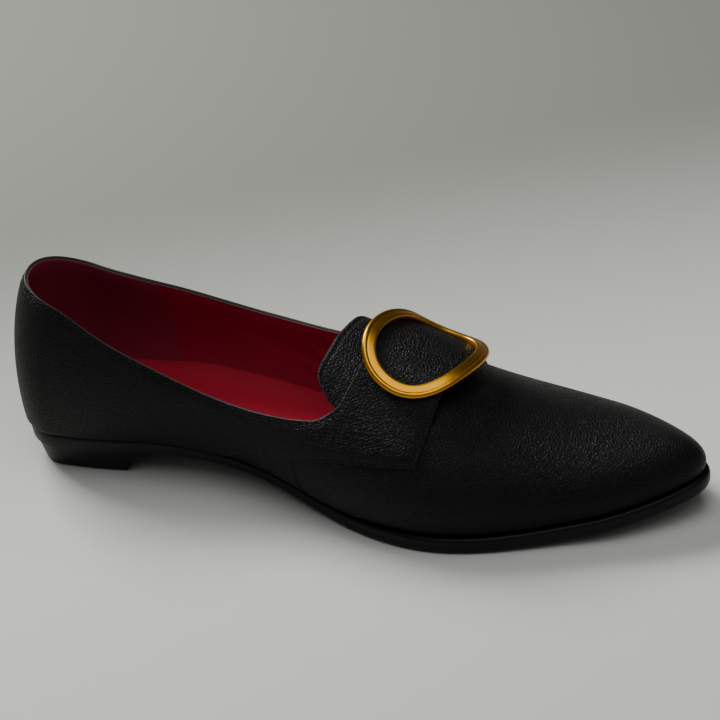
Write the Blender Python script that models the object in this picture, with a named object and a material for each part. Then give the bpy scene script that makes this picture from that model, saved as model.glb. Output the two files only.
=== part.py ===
"""A woman's low-heeled buckle shoe for the left foot: black leather, red sock, gilt ring buckle.

The toe points along +X, the outer side of the foot along +Y, and the shoe stands on z = 0 with the
origin at the centre of its heel's tread.
"""

import math
from bisect import bisect_right
from collections import namedtuple
from functools import lru_cache

import bpy
from mathutils import Matrix, Vector

# Driving dimensions, in metres
LAST_LENGTH = 0.262
HEEL_WIDTH = 0.0495
WAIST_WIDTH = 0.0485
BALL_WIDTH = 0.086
TOE_WIDTH = 0.0667
CONE_RISE = 0.100
INSTEP_RISE = 0.0525
BALL_RISE = 0.0422
TOE_RISE = 0.0244
WALL_SWELL = 0.0073
BACK_HEIGHT = 0.0588
HEEL_HEIGHT = 0.0103
HEEL_LENGTH = 0.0535
HEEL_INSET = 0.0012
HEEL_TAPER = 0.0022
BREAST_LEAN = 0.0085
BREAST_HOLLOW = 0.003
TREAD_BEVEL = 0.0007
TOE_SPRING = 0.0096
SOLE_THICKNESS = 0.0062
SOLE_LEDGE = 0.0021
SOLE_EDGE_ROUND = 0.0012
WALL = 0.0014
QUARTER_LEATHER = 0.0012
TONGUE_LEATHER = 0.0016
STRAP_RISE = 0.0032
SOCK_THICKNESS = 0.002
BUCKLE_LENGTH = 0.0379
BUCKLE_SPAN = 0.0545
BUCKLE_BAND = 0.0052
BUCKLE_THICKNESS = 0.0026
BUCKLE_SHIFT = 0.0025
SEAM_GAP = 0.0003

# Cross-sections of the last, from heel back to toe tip. along is the share of LAST_LENGTH, width the
# feather edge across, shift its middle towards the outer side and lean the crest's own shift, both as
# shares of BALL_WIDTH, rise the crest above the seat, swell_in and swell_out how far the wall stands
# out past the feather edge, as shares of WALL_SWELL, and full_in and full_out how square each half is.
Section = namedtuple("Section", "along width shift rise lean swell_in swell_out full_in full_out")
SECTIONS = (
    Section(0.00, 0.94 * HEEL_WIDTH, 0.000, 1.01 * CONE_RISE, 0.000, 0.16, 0.16, 2.0, 2.0),
    Section(0.13, 1.00 * HEEL_WIDTH, 0.000, 0.73 * CONE_RISE, 0.000, 0.42, 0.42, 2.0, 2.0),
    Section(0.38, 1.00 * WAIST_WIDTH, 0.025, 0.66 * CONE_RISE, 0.000, 1.00, 0.55, 3.0, 3.0),
    Section(0.55, 1.40 * WAIST_WIDTH, -0.068, 1.00 * INSTEP_RISE, 0.015, 0.65, 0.41, 2.3, 2.3),
    Section(0.66, 1.00 * BALL_WIDTH, -0.023, 1.00 * BALL_RISE, -0.020, 0.38, 0.38, 2.2, 1.65),
    Section(0.84, 1.00 * TOE_WIDTH, 0.025, 1.00 * TOE_RISE, -0.052, 0.25, 0.25, 2.3, 1.95),
    Section(1.00, 0.50 * TOE_WIDTH, -0.004, 0.58 * TOE_RISE, -0.047, 0.11, 0.11, 2.7, 2.6),
)
# Shares of the length over which the outline rounds off at heel and toe, and by which the crest leans
# in over them; the last is the share of a wall's rise over which it meets the sole upright
HEEL_ROUND = 0.07
TOE_ROUND = 0.14
CREST_BACK = 0.155
CREST_BACK_END = 0.42
CREST_FRONT = 0.08
CREST_FRONT_START = 0.74
FOOT_LEVEL = 0.12

# Heights of the collar above the seat on the inner and the outer side, as shares of BACK_HEIGHT
Collar = namedtuple("Collar", "along medial lateral")
COLLAR = (
    Collar(0.00, 1.000, 1.000),
    Collar(0.05, 0.933, 0.880),
    Collar(0.12, 0.796, 0.795),
    Collar(0.25, 0.584, 0.635),
    Collar(0.38, 0.515, 0.583),
    Collar(0.47, 0.574, 0.610),
)
COLLAR_END = 0.47

# The sole's underside: where the heel seat ends, the tread touches the floor and the toe lifts
SEAT_END = 0.20
TREAD_BACK = 0.56
TREAD_FRONT = 0.70
WAIST_THINNING = 0.2

# Where a latchet's front corner sits and where its strap starts, both across, and where the quarter's
# lower line leaves the sole, along
STRAP_FOOT = 0.63
STRAP_BASE = 0.54
QUARTER_FOOT_START = 0.33

# The latchets' rear edge from the crest down to the collar's end: across as a share of the half girth
# there, along as a share of LAST_LENGTH
LATCHET_REAR = (
    (0.00, 0.549),
    (0.25, 0.549),
    (0.53, 0.544),
    (0.68, 0.536),
    (0.80, 0.527),
    (0.87, 0.515),
    (0.94, 0.498),
    (1.00, 0.470),
)
# Their front edge from the medial foot corner over the crest to the lateral one
LATCHET_FRONT = (
    (-STRAP_FOOT, 0.644),
    (-0.38, 0.656),
    (-0.17, 0.660),
    (0.00, 0.666),
    (0.30, 0.674),
    (STRAP_FOOT, 0.672),
)
# The quarter's lower line: how much of the way it has gone to the front corner, and across
QUARTER_FOOT = (
    (0.00, 1.00),
    (0.21, 0.90),
    (0.45, 0.81),
    (0.64, 0.73),
    (0.86, 0.67),
    (1.00, STRAP_FOOT),
)
# How far past the crest each latchet ends, the width in which the upper one climbs, and that in which
# the ring comes down again beyond the upper one's end, across
MEDIAL_LAP_END = 0.20
LATERAL_LAP_END = 0.16
LAP_CLIMB = 0.30
LAP_FALL = 0.12
# Where the latchets leave the instep on the inner side and meet it again on the outer side, across
STRAP_LEAVE = (-0.50, -0.12)
STRAP_MEET = (0.28, 0.54)
# The vamp's throat at the crest, along, and the half widths of throat and tongue, across
THROAT = 0.61
THROAT_SIDE = 0.56
TONGUE_SIDE = 0.53
# The tongue's rear edge from the medial to the lateral side, across as a share of TONGUE_SIDE
TONGUE_REAR = (
    (-1.00, 0.536),
    (-0.98, 0.523),
    (-0.93, 0.507),
    (-0.87, 0.497),
    (-0.79, 0.493),
    (-0.68, 0.4955),
    (-0.55, 0.4995),
    (-0.25, 0.5055),
    (0.00, 0.510),
    (0.30, 0.514),
    (0.55, 0.519),
    (0.80, 0.529),
    (0.92, 0.539),
    (0.98, 0.549),
    (1.00, 0.560),
)
# The ring's middle, along the crest, how square its outline is, and its turn on the instep in radians
BUCKLE_PLACE = 0.6145
BUCKLE_SQUARENESS = 2.2
BUCKLE_TURN = -0.35
# How far over from the crest the ring's bars are laid out, across
BAR_REACH = 0.6

# Fineness of the faceted solids
BACK_COLUMNS = 20
SWEEP_COLUMNS = 5
THROAT_COLUMNS = 9
FRONT_COLUMNS = 18
WALL_ROWS = 10
STRAP_COLUMNS = 8
STRAP_ROWS = 15
TONGUE_COLUMNS = 18
TONGUE_ROWS = 7
SOLE_COLUMNS = 42
HEEL_COLUMNS = 14
BREAST_COLUMNS = 8
RING_STEPS = 56
RING_PROFILE_STEPS = 12
BAR_STEPS = 24
STEP = 0.002

MEDIAL = -1
LATERAL = 1


def spline(rows):
    """A smooth curve through (place, value) rows, level beyond its ends."""
    x = [float(row[0]) for row in rows]
    y = [float(row[1]) for row in rows]
    last = len(x) - 1
    gaps = [x[i + 1] - x[i] for i in range(last)]
    slopes = [(y[i + 1] - y[i]) / gaps[i] for i in range(last)]
    spans = [0.0] * (last + 1)
    pulls = [0.0] * (last + 1)
    for i in range(1, last):
        part = gaps[i - 1] * spans[i - 1]
        base = 2 * (gaps[i - 1] + gaps[i]) - part
        spans[i] = gaps[i] / base
        pulls[i] = (6 * (slopes[i] - slopes[i - 1]) - gaps[i - 1] * pulls[i - 1]) / base
    bends = [0.0] * (last + 1)
    for i in range(last - 1, 0, -1):
        bends[i] = pulls[i] - spans[i] * bends[i + 1]

    def value(at):
        at = min(max(at, x[0]), x[last])
        i = min(bisect_right(x, at) - 1, last - 1)
        a = x[i + 1] - at
        b = at - x[i]
        g = gaps[i]
        cubic = (bends[i] * a**3 + bends[i + 1] * b**3) / (6 * g)
        ends = (y[i] / g - bends[i] * g / 6) * a + (y[i + 1] / g - bends[i + 1] * g / 6) * b
        return cubic + ends

    return value


def section_curve(column):
    return spline([(section.along, getattr(section, column)) for section in SECTIONS])


WIDTH = section_curve("width")
SHIFT = section_curve("shift")
RISE = section_curve("rise")
LEAN = section_curve("lean")
SWELL = {MEDIAL: section_curve("swell_in"), LATERAL: section_curve("swell_out")}
FULLNESS = {MEDIAL: section_curve("full_in"), LATERAL: section_curve("full_out")}
COLLAR_HEIGHT = {
    MEDIAL: spline([(row.along, row.medial) for row in COLLAR]),
    LATERAL: spline([(row.along, row.lateral) for row in COLLAR]),
}
REAR_EDGE = spline(LATCHET_REAR)
FRONT_EDGE = spline(LATCHET_FRONT)
FOOT_LINE = spline(QUARTER_FOOT)
TONGUE_EDGE = spline(TONGUE_REAR)


def smooth_step(t):
    t = min(max(t, 0.0), 1.0)
    return t * t * (3 - 2 * t)


def spread(start, end, count):
    return [start + (end - start) * i / count for i in range(count + 1)]


def along_of(u):
    """Share of the length at column place u, which bunches the columns at heel back and toe tip."""
    return (1 - math.cos(math.pi * min(max(u, 0.0), 1.0))) / 2


def place_of(along):
    return math.acos(1 - 2 * min(max(along, 0.0), 1.0)) / math.pi


def end_rounding(along):
    """1 along the foot, falling to 0 in an elliptic arc at heel back and toe tip."""
    cap = 1.0
    if along < HEEL_ROUND:
        cap *= math.sqrt(max(0.0, 1 - (1 - along / HEEL_ROUND) ** 2))
    if along > 1 - TOE_ROUND:
        cap *= math.sqrt(max(0.0, 1 - ((along - 1 + TOE_ROUND) / TOE_ROUND) ** 2))
    return cap


def underside(along):
    """Height of the sole's underside over the floor."""
    if along <= TREAD_FRONT:
        return HEEL_HEIGHT * (1 - smooth_step((along - SEAT_END) / (TREAD_BACK - SEAT_END)))
    return TOE_SPRING * ((along - TREAD_FRONT) / (1 - TREAD_FRONT)) ** 2


def sole_thickness(along):
    waist = smooth_step((along - SEAT_END) / 0.15) * (1 - smooth_step((along - 0.45) / 0.15))
    return SOLE_THICKNESS * (1 - WAIST_THINNING * waist)


def seat(x):
    """Height of the upper's foot above the floor at length x from the heel back."""
    along = x / LAST_LENGTH
    return underside(along) + sole_thickness(along) + SEAM_GAP


@lru_cache(maxsize=None)
def feather(side, along):
    """Plan point of the feather edge, where the wall meets the sole."""
    half = WIDTH(along) / 2 * end_rounding(along)
    return along * LAST_LENGTH, SHIFT(along) * BALL_WIDTH + side * half


@lru_cache(maxsize=None)
def outward(side, along):
    """Horizontal direction that points out of the feather edge."""
    u = place_of(along)
    ahead = feather(side, along_of(u + STEP))
    behind = feather(side, along_of(u - STEP))
    run_x = ahead[0] - behind[0]
    run_y = ahead[1] - behind[1]
    length = math.hypot(run_x, run_y)
    return -side * run_y / length, side * run_x / length


def feather_offset(side, along, distance):
    """The feather edge's plan point moved outwards by the distance."""
    x, y = feather(side, along)
    out_x, out_y = outward(side, along)
    return x + out_x * distance, y + out_y * distance


def crest_share(along):
    """Length share of a column's crest point: the same as its feet but for the rounds of heel and toe."""
    back = max(0.0, 1 - along / CREST_BACK_END)
    front = max(0.0, (along - CREST_FRONT_START) / (1 - CREST_FRONT_START))
    return along + CREST_BACK * back**2 - CREST_FRONT * front**2


@lru_cache(maxsize=None)
def bare_skin(along, across):
    """The upper's outer surface, and the share of the crest's height it has there."""
    side = MEDIAL if across < 0 else LATERAL
    turn = (1 - abs(across)) * math.pi / 2
    power = FULLNESS[side](along)
    out = max(math.cos(turn), 0.0)
    level = math.sin(turn)
    radius = (out**power + level**power) ** (-1 / power)
    out *= radius
    level *= radius
    share = crest_share(along)
    crest_x = share * LAST_LENGTH
    crest_y = LEAN(share) * BALL_WIDTH
    foot_x, foot_y = feather(side, along)
    swell = SWELL[side](along) * WALL_SWELL * 6.75 * level * (1 - level) ** 2
    out_x, out_y = outward(side, along)
    x = crest_x + (foot_x - crest_x) * out + out_x * swell
    y = crest_y + (foot_y - crest_y) * out + out_y * swell
    return Vector((x, y, seat(x) + RISE(x / LAST_LENGTH) * level)), level


def skin_normal(along, across):
    u = place_of(along)
    run = bare_skin(along_of(u + STEP), across)[0] - bare_skin(along_of(u - STEP), across)[0]
    low = max(across - STEP, -1.0)
    high = min(across + STEP, 1.0)
    rise = bare_skin(along, high)[0] - bare_skin(along, low)[0]
    return run.cross(rise).normalized()


def skin(along, across, lift=0.0):
    """A point lifted off the upper's outer surface.

    across runs from -1 at the medial feather edge over the crest at 0 to 1 at the lateral one.
    """
    point, level = bare_skin(along, across)
    if lift == 0.0:
        return point.copy()
    upright = smooth_step(level / FOOT_LEVEL)
    normal = skin_normal(along, across)
    normal.z *= upright
    lifted = point + normal.normalized() * lift
    lifted.z += (1 - upright) * (seat(lifted.x) - seat(point.x))
    return lifted


def collar_across(side, along):
    """Where the collar crosses the section: the place across at which the wall has its height."""
    target = COLLAR_HEIGHT[side](along) * BACK_HEIGHT
    low, high = 0.0, 1.0
    for _ in range(40):
        middle = (low + high) / 2
        point = bare_skin(along, side * middle)[0]
        if point.z - seat(point.x) > target:
            low = middle
        else:
            high = middle
    return (low + high) / 2


CORNER = {side: collar_across(side, COLLAR_END) for side in (MEDIAL, LATERAL)}


def strap_rear(across):
    side = MEDIAL if across < 0 else LATERAL
    return REAR_EDGE(abs(across) / CORNER[side])


def throat_along(across):
    """The vamp's throat under the latchets: from the collar's sweep on one side over to the other."""
    side = MEDIAL if across < 0 else LATERAL
    back = strap_rear(side * THROAT_SIDE)
    share = min(abs(across) / THROAT_SIDE, 1.0)
    return back + (THROAT - back) * math.sqrt(1 - share**2)


def collar_places(side):
    """(along, across) down the top line from the heel back to where the latchet leaves it."""
    places = []
    for u in spread(0, place_of(COLLAR_END), BACK_COLUMNS):
        places.append((along_of(u), collar_across(side, along_of(u))))
    for across in spread(CORNER[side], THROAT_SIDE, SWEEP_COLUMNS)[1:]:
        places.append((strap_rear(side * across), across))
    return places


def quarter_foot(side, along):
    """Lower edge of the quarter: on the sole at the back, then over the vamp to the latchet's corner."""
    corner = FRONT_EDGE(side * STRAP_FOOT)
    return FOOT_LINE((along - QUARTER_FOOT_START) / (corner - QUARTER_FOOT_START))


def key_of(along, across):
    """One name for each place on the skin: both sides share the columns at heel back and toe tip."""
    if along < 1e-9 or along > 1 - 1e-9:
        across = abs(across)
    return round(along, 7), round(across, 7)


def solid(name, points, faces, material):
    mesh = bpy.data.meshes.new(name)
    mesh.from_pydata([tuple(p) for p in points], [], faces)
    mesh.validate()
    mesh.materials.append(material)
    mesh.shade_smooth()
    mesh.set_sharp_from_angle(angle=math.radians(35))
    mesh.transform(TO_ORIGIN)
    obj = bpy.data.objects.new(name, mesh)
    bpy.context.scene.collection.objects.link(obj)


def grid_faces(grid):
    """Quads over a grid of point numbers; a quad with a repeated corner becomes a triangle."""
    faces = []
    for left, right in zip(grid, grid[1:]):
        for j in range(len(left) - 1):
            ring = [left[j], right[j], right[j + 1], left[j + 1]]
            corners = [v for k, v in enumerate(ring) if v != ring[k - 1]]
            if len(corners) > 2:
                faces.append(corners)
    return faces


def leather(name, patches, inner_lift, outer_lift, material):
    """A closed sheet laid on the skin: an outer and an inner face, walled round every free edge."""
    places = {}
    outer = []
    inner = []

    def index(along, across):
        key = key_of(along, across)
        if key not in places:
            places[key] = len(outer)
            outer.append(skin(along, across, outer_lift(across)))
            inner.append(skin(along, across, inner_lift(across)))
        return places[key]

    quads = []
    for patch in patches:
        quads += grid_faces([[index(*place) for place in column] for column in patch])
    edges = {(quad[k - 1], quad[k]) for quad in quads for k in range(len(quad))}
    count = len(outer)
    faces = quads + [[v + count for v in reversed(quad)] for quad in quads]
    faces += [(b, a, a + count, b + count) for a, b in sorted(edges) if (b, a) not in edges]
    solid(name, outer + inner, faces, material)


def medial_to_lateral(side, columns):
    """Columns of (along, unsigned across) from the foot up, turned to run from medial to lateral."""
    if side == MEDIAL:
        return [[(a, -v) for a, v in column] for column in columns]
    return [list(reversed(column)) for column in columns]


def make_upper(material):
    """Vamp and quarter backing in one hollow wall, open at the collar and underneath."""
    patches = []
    for side in (MEDIAL, LATERAL):
        tops = collar_places(side)
        start = tops[-1][0]
        for turn in spread(0, math.pi / 2, THROAT_COLUMNS)[1:-1]:
            tops.append((start + (THROAT - start) * math.sin(turn), THROAT_SIDE * math.cos(turn)))
        tops += [(along_of(u), 0.0) for u in spread(place_of(THROAT), 1, FRONT_COLUMNS)]
        columns = [[(a, v) for v in spread(1.0, top, WALL_ROWS)] for a, top in tops]
        patches.append(medial_to_lateral(side, columns))
    leather("upper", patches, lambda across: -WALL, lambda across: 0.0, material)


def back_seam_along():
    """The column that leaves half a seam's gap beside the heel's middle line."""
    return along_of(STEP * SEAM_GAP / 2 / feather(LATERAL, along_of(STEP))[1])


def strap_stand(across):
    """How far the latchets stand off the instep as they pass over it."""
    leave = smooth_step((across - STRAP_LEAVE[0]) / (STRAP_LEAVE[1] - STRAP_LEAVE[0]))
    meet = smooth_step((across - STRAP_MEET[0]) / (STRAP_MEET[1] - STRAP_MEET[0]))
    return STRAP_RISE * leave * (1 - meet)


def lap_lift(side, across):
    """Height of a latchet's underside: the medial one climbs over the end of the lateral one."""
    stand = SEAM_GAP + strap_stand(across)
    if side == LATERAL:
        return stand
    climb = smooth_step((across + LATERAL_LAP_END + 1.1 * LAP_CLIMB) / LAP_CLIMB)
    return stand + (QUARTER_LEATHER + SEAM_GAP) * climb


def make_quarter(name, side, lap_end, material):
    """One black quarter with its latchet: body, its front part over the vamp, and the strap."""
    tops = collar_places(side)
    tops[0] = (back_seam_along(), tops[0][1])
    tops.append((strap_rear(side * STRAP_BASE), STRAP_BASE))
    body = [[(a, v) for v in spread(quarter_foot(side, a), top, WALL_ROWS)] for a, top in tops]
    base = tops[-1][0]
    corner = FRONT_EDGE(side * STRAP_FOOT)
    wing = []
    for share in spread(0, 1, STRAP_COLUMNS):
        foot = quarter_foot(side, base + share * (corner - base))
        column = []
        for across in spread(foot, STRAP_BASE, WALL_ROWS):
            front = FRONT_EDGE(side * across)
            column.append((base + share * (front - base), across))
        wing.append(column)
    strap = []
    for share in spread(0, 1, STRAP_COLUMNS):
        column = []
        for across in spread(STRAP_BASE, -lap_end, STRAP_ROWS):
            rear = strap_rear(side * across)
            column.append((rear + share * (FRONT_EDGE(side * across) - rear), across))
        strap.append(column)
    patches = [medial_to_lateral(side, columns) for columns in (body, wing, strap)]
    leather(
        name,
        patches,
        lambda across: lap_lift(side, across),
        lambda across: lap_lift(side, across) + QUARTER_LEATHER,
        material,
    )


def make_tongue(material):
    """Broad round-cornered tongue: it goes on from the throat and passes back under the latchets."""
    gap = 1.5 * SEAM_GAP / LAST_LENGTH
    rows = []
    for turn in spread(-math.pi / 2, math.pi / 2, TONGUE_COLUMNS):
        share = 0.995 * math.sin(turn)
        across = share * TONGUE_SIDE
        front = throat_along(across) - gap
        rear = TONGUE_EDGE(share)
        rows.append([(a, across) for a in spread(rear, front, TONGUE_ROWS)])
    patch = [list(column) for column in zip(*rows)]
    leather("tongue", [patch], lambda across: -TONGUE_LEATHER, lambda across: 0.0, material)


def sole_ledge(along):
    """How far the sole stands out past the feather edge: it is tucked in at waist and heel."""
    return SOLE_LEDGE * smooth_step((along - 0.40) / 0.30)


def sole_point(side, along, out, share):
    """A point of the sole's side: share 0 at the underside and 1 at the top."""
    x, y = feather_offset(side, along, sole_ledge(along) - out)
    x_share = x / LAST_LENGTH
    return x, y, underside(x_share) + sole_thickness(x_share) * share


def ring_walls(rings):
    """Faces between stacked rings of equally many points."""
    n = len(rings[0])
    faces = []
    for r in range(len(rings) - 1):
        for i in range(n):
            j = (i + 1) % n
            faces.append((r * n + i, r * n + j, (r + 1) * n + j, (r + 1) * n + i))
    return faces


def foot_outline(point_at):
    """A closed ring round the foot from heel back to toe tip and home: point_at(side, along)."""
    alongs = [along_of(u) for u in spread(0, 1, SOLE_COLUMNS)]
    ring = [point_at(MEDIAL, a) for a in alongs]
    ring += [point_at(LATERAL, a) for a in reversed(alongs[1:-1])]
    return ring


def foot_slab(name, rings, material):
    """A slab under the whole foot, closed by strips across it that keep its curve along the foot."""
    n = len(rings[0])
    top = (len(rings) - 1) * n
    faces = ring_walls(rings)
    for i in range(n // 2):
        ring = [i, i + 1, (n - i - 1) % n, (n - i) % n]
        corners = [v for k, v in enumerate(ring) if v != ring[k - 1]]
        faces.append([top + v for v in corners])
        faces.append(corners[::-1])
    solid(name, [p for ring in rings for p in ring], faces, material)


def make_outsole(material):
    profile = ((1.0, 0.0), (0.2, 0.2), (0.0, 0.5), (0.2, 0.85), (0.8, 1.0))
    rings = []
    for draw, share in profile:
        out = draw * SOLE_EDGE_ROUND
        rings.append(foot_outline(lambda side, a: sole_point(side, a, out, share)))
    foot_slab("outsole", rings, material)


def make_insole(material):
    """Red sock that fills the floor inside the wall."""
    rings = []
    for level in (0, 1):
        inset = WALL + SEAM_GAP * (1 + level)

        def sock_point(side, along):
            x, y = feather_offset(side, along, -inset)
            return x, y, seat(x) + level * SOCK_THICKNESS

        rings.append(foot_outline(sock_point))
    foot_slab("insole", rings, material)


def heel_ring(height, draw):
    """The heel block's outline at one height, with its hollow breast across the front."""
    lean = BREAST_LEAN * (1 - height / HEEL_HEIGHT)
    breast = (HEEL_LENGTH - lean) / LAST_LENGTH
    alongs = [along_of(u) for u in spread(0, place_of(breast), HEEL_COLUMNS)]
    ring = [feather_offset(MEDIAL, a, -HEEL_INSET - draw) for a in alongs]
    medial = ring[-1]
    lateral = feather_offset(LATERAL, breast, -HEEL_INSET - draw)
    for share in spread(0, 1, BREAST_COLUMNS)[1:-1]:
        x = medial[0] + (lateral[0] - medial[0]) * share - BREAST_HOLLOW * math.sin(math.pi * share)
        ring.append((x, medial[1] + (lateral[1] - medial[1]) * share))
    ring += [feather_offset(LATERAL, a, -HEEL_INSET - draw) for a in reversed(alongs[1:])]
    return [(x, y, height) for x, y in ring]


def make_heel(material):
    """Low heel block under the seat, drawn in towards its tread."""
    rings = [
        heel_ring(0.0, HEEL_TAPER + TREAD_BEVEL),
        heel_ring(TREAD_BEVEL, HEEL_TAPER),
        heel_ring(HEEL_HEIGHT - SEAM_GAP, 0.0),
    ]
    n = len(rings[0])
    top = (len(rings) - 1) * n
    faces = ring_walls(rings)
    faces.append(tuple(range(top, top + n)))
    faces.append(tuple(reversed(range(n))))
    solid("heel", [p for ring in rings for p in ring], faces, material)


def buckle_lift(across):
    """Height of the buckle's middle over the skin: it lies on two latchets, then on the lower one."""
    doubled = lap_lift(MEDIAL, across)
    fall = smooth_step((across - MEDIAL_LAP_END) / LAP_FALL)
    leather_top = doubled + (lap_lift(LATERAL, across) - doubled) * fall + QUARTER_LEATHER
    return leather_top + 2 * SEAM_GAP + BUCKLE_THICKNESS / 2


def bar_curve(along):
    """The line over the instep on which a bar of the ring lies: (across, point) by the metres over."""
    crest = skin(along, 0.0, buckle_lift(0.0))
    rows = [(0.0, 0.0, crest)]
    for side in (MEDIAL, LATERAL):
        travelled = 0.0
        behind = crest
        for across in spread(0, BAR_REACH, BAR_STEPS)[1:]:
            ahead = skin(along, side * across, buckle_lift(side * across))
            travelled += (ahead - behind).length
            rows.append((side * travelled, side * across, ahead))
            behind = ahead
    rows.sort(key=lambda row: row[0])
    across_curve = spline([(reach, across) for reach, across, _ in rows])
    curves = [spline([(reach, point[axis]) for reach, _, point in rows]) for axis in range(3)]
    return lambda reach: (across_curve(reach), Vector([curve(reach) for curve in curves]))


def buckle_line():
    """The ring's middle line and its normals: a rounded oblong, straight from bar to bar.

    Where the latchets bulge up between the bars, the ring is bent to lie over them.
    """
    half_run = (BUCKLE_LENGTH - BUCKLE_BAND) / 2
    half_span = (BUCKLE_SPAN - BUCKLE_BAND) / 2
    rear_bar = bar_curve(BUCKLE_PLACE - half_run / LAST_LENGTH)
    front_bar = bar_curve(BUCKLE_PLACE + half_run / LAST_LENGTH)
    power = 2 / BUCKLE_SQUARENESS
    line = []
    for i in range(RING_STEPS):
        turn = 2 * math.pi * i / RING_STEPS
        c, s = math.cos(turn), math.sin(turn)
        run = half_run * math.copysign(abs(c) ** power, c)
        reach = half_span * math.copysign(abs(s) ** power, s)
        ahead = run * math.cos(BUCKLE_TURN) - reach * math.sin(BUCKLE_TURN)
        over = run * math.sin(BUCKLE_TURN) + reach * math.cos(BUCKLE_TURN) - BUCKLE_SHIFT
        share = 0.5 + ahead / (2 * half_run)
        rear_across, rear = rear_bar(over)
        front_across, front = front_bar(over)
        along = BUCKLE_PLACE + ahead / LAST_LENGTH
        across = rear_across + (front_across - rear_across) * share
        normal = skin_normal(along, across)
        chord = rear.lerp(front, share)
        bulge = (skin(along, across, buckle_lift(across)) - chord).dot(normal)
        line.append((chord + normal * max(0.0, bulge), normal))
    return line


def make_buckle(material):
    """Flat-faced gilt ring with rounded edges, bent over the instep to lie on the latchets."""
    profile = []
    for k in range(RING_PROFILE_STEPS):
        angle = 2 * math.pi * (k + 0.5) / RING_PROFILE_STEPS
        c, s = math.cos(angle), math.sin(angle)
        profile.append((math.copysign(abs(c) ** 0.6, c), math.copysign(abs(s) ** 0.6, s)))
    line = buckle_line()
    points = []
    for i, (middle, normal) in enumerate(line):
        run = line[(i + 1) % RING_STEPS][0] - line[i - 1][0]
        sideways = run.cross(normal).normalized()
        upward = sideways.cross(run).normalized()
        for out, up in profile:
            offset = sideways * (out * BUCKLE_BAND / 2) + upward * (up * BUCKLE_THICKNESS / 2)
            points.append(middle + offset)
    n = RING_PROFILE_STEPS
    faces = []
    for i in range(RING_STEPS):
        j = (i + 1) % RING_STEPS
        for k in range(n):
            m = (k + 1) % n
            faces.append((i * n + k, j * n + k, j * n + m, i * n + m))
    solid("buckle", points, faces, material)


def plain_material(name, colour, roughness, metallic=0.0):
    material = bpy.data.materials.new(name)
    material.use_nodes = True
    shader = material.node_tree.nodes["Principled BSDF"]
    shader.inputs["Base Color"].default_value = (*colour, 1.0)
    shader.inputs["Roughness"].default_value = roughness
    shader.inputs["Metallic"].default_value = metallic
    material.diffuse_color = (*colour, 1.0)
    return material


# From the heel back to the middle of the heel's tread
TREAD_START = HEEL_INSET + HEEL_TAPER + TREAD_BEVEL
TREAD_END = HEEL_LENGTH - BREAST_LEAN
TO_ORIGIN = Matrix.Translation((-(TREAD_START + TREAD_END) / 2, 0, 0))

for old in list(bpy.data.objects):
    bpy.data.objects.remove(old)

BLACK_LEATHER = plain_material("black_leather", (0.012, 0.013, 0.014), 0.45)
BLACK_SOLE = plain_material("black_sole", (0.014, 0.015, 0.016), 0.55)
RED_LEATHER = plain_material("red_leather", (0.30, 0.008, 0.018), 0.5)
GILT = plain_material("gilt", (0.72, 0.42, 0.06), 0.25, metallic=1.0)

make_outsole(BLACK_SOLE)
make_heel(BLACK_SOLE)
make_upper(BLACK_LEATHER)
make_quarter("quarter_medial", MEDIAL, MEDIAL_LAP_END, BLACK_LEATHER)
make_quarter("quarter_lateral", LATERAL, LATERAL_LAP_END, BLACK_LEATHER)
make_tongue(BLACK_LEATHER)
make_insole(RED_LEATHER)
make_buckle(GILT)
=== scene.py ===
"""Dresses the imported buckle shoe: smooth leather, lining, stitches, gilt ring, floor, light and camera.

The toe points along +X, the outer side of the foot along +Y, and the shoe stands on z = 0.
"""

import math
from bisect import bisect_right
from collections import namedtuple
from functools import lru_cache

import bpy
from mathutils import Matrix, Vector, kdtree


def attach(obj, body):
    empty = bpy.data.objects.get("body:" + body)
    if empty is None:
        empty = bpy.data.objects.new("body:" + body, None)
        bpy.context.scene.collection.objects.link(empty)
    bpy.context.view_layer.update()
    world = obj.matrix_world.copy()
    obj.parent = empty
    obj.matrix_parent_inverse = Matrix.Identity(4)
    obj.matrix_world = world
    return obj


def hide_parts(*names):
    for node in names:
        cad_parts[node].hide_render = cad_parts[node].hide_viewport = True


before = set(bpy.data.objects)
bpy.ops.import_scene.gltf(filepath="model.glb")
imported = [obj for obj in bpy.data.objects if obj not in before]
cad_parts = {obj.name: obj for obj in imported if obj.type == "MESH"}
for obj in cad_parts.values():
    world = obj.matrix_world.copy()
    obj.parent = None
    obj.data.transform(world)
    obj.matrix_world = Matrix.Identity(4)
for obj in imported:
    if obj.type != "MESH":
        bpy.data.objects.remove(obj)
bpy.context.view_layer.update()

# Driving dimensions, in metres
LAST_LENGTH = 0.262
HEEL_WIDTH = 0.0495
WAIST_WIDTH = 0.0485
BALL_WIDTH = 0.086
TOE_WIDTH = 0.0667
CONE_RISE = 0.100
INSTEP_RISE = 0.0525
BALL_RISE = 0.0422
TOE_RISE = 0.0244
WALL_SWELL = 0.0073
BACK_HEIGHT = 0.0588
HEEL_HEIGHT = 0.0103
HEEL_LENGTH = 0.0535
HEEL_INSET = 0.0012
HEEL_TAPER = 0.0022
BREAST_LEAN = 0.0085
BREAST_HOLLOW = 0.003
TREAD_BEVEL = 0.0007
TOE_SPRING = 0.0096
SOLE_THICKNESS = 0.0062
SOLE_LEDGE = 0.0021
SOLE_EDGE_ROUND = 0.0012
QUARTER_LEATHER = 0.0012
STRAP_RISE = 0.0032
SOCK_THICKNESS = 0.002
BUCKLE_LENGTH = 0.0379
BUCKLE_SPAN = 0.0545
BUCKLE_BAND = 0.0052
BUCKLE_THICKNESS = 0.0026
BUCKLE_SHIFT = 0.0025
SEAM_GAP = 0.0003

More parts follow.
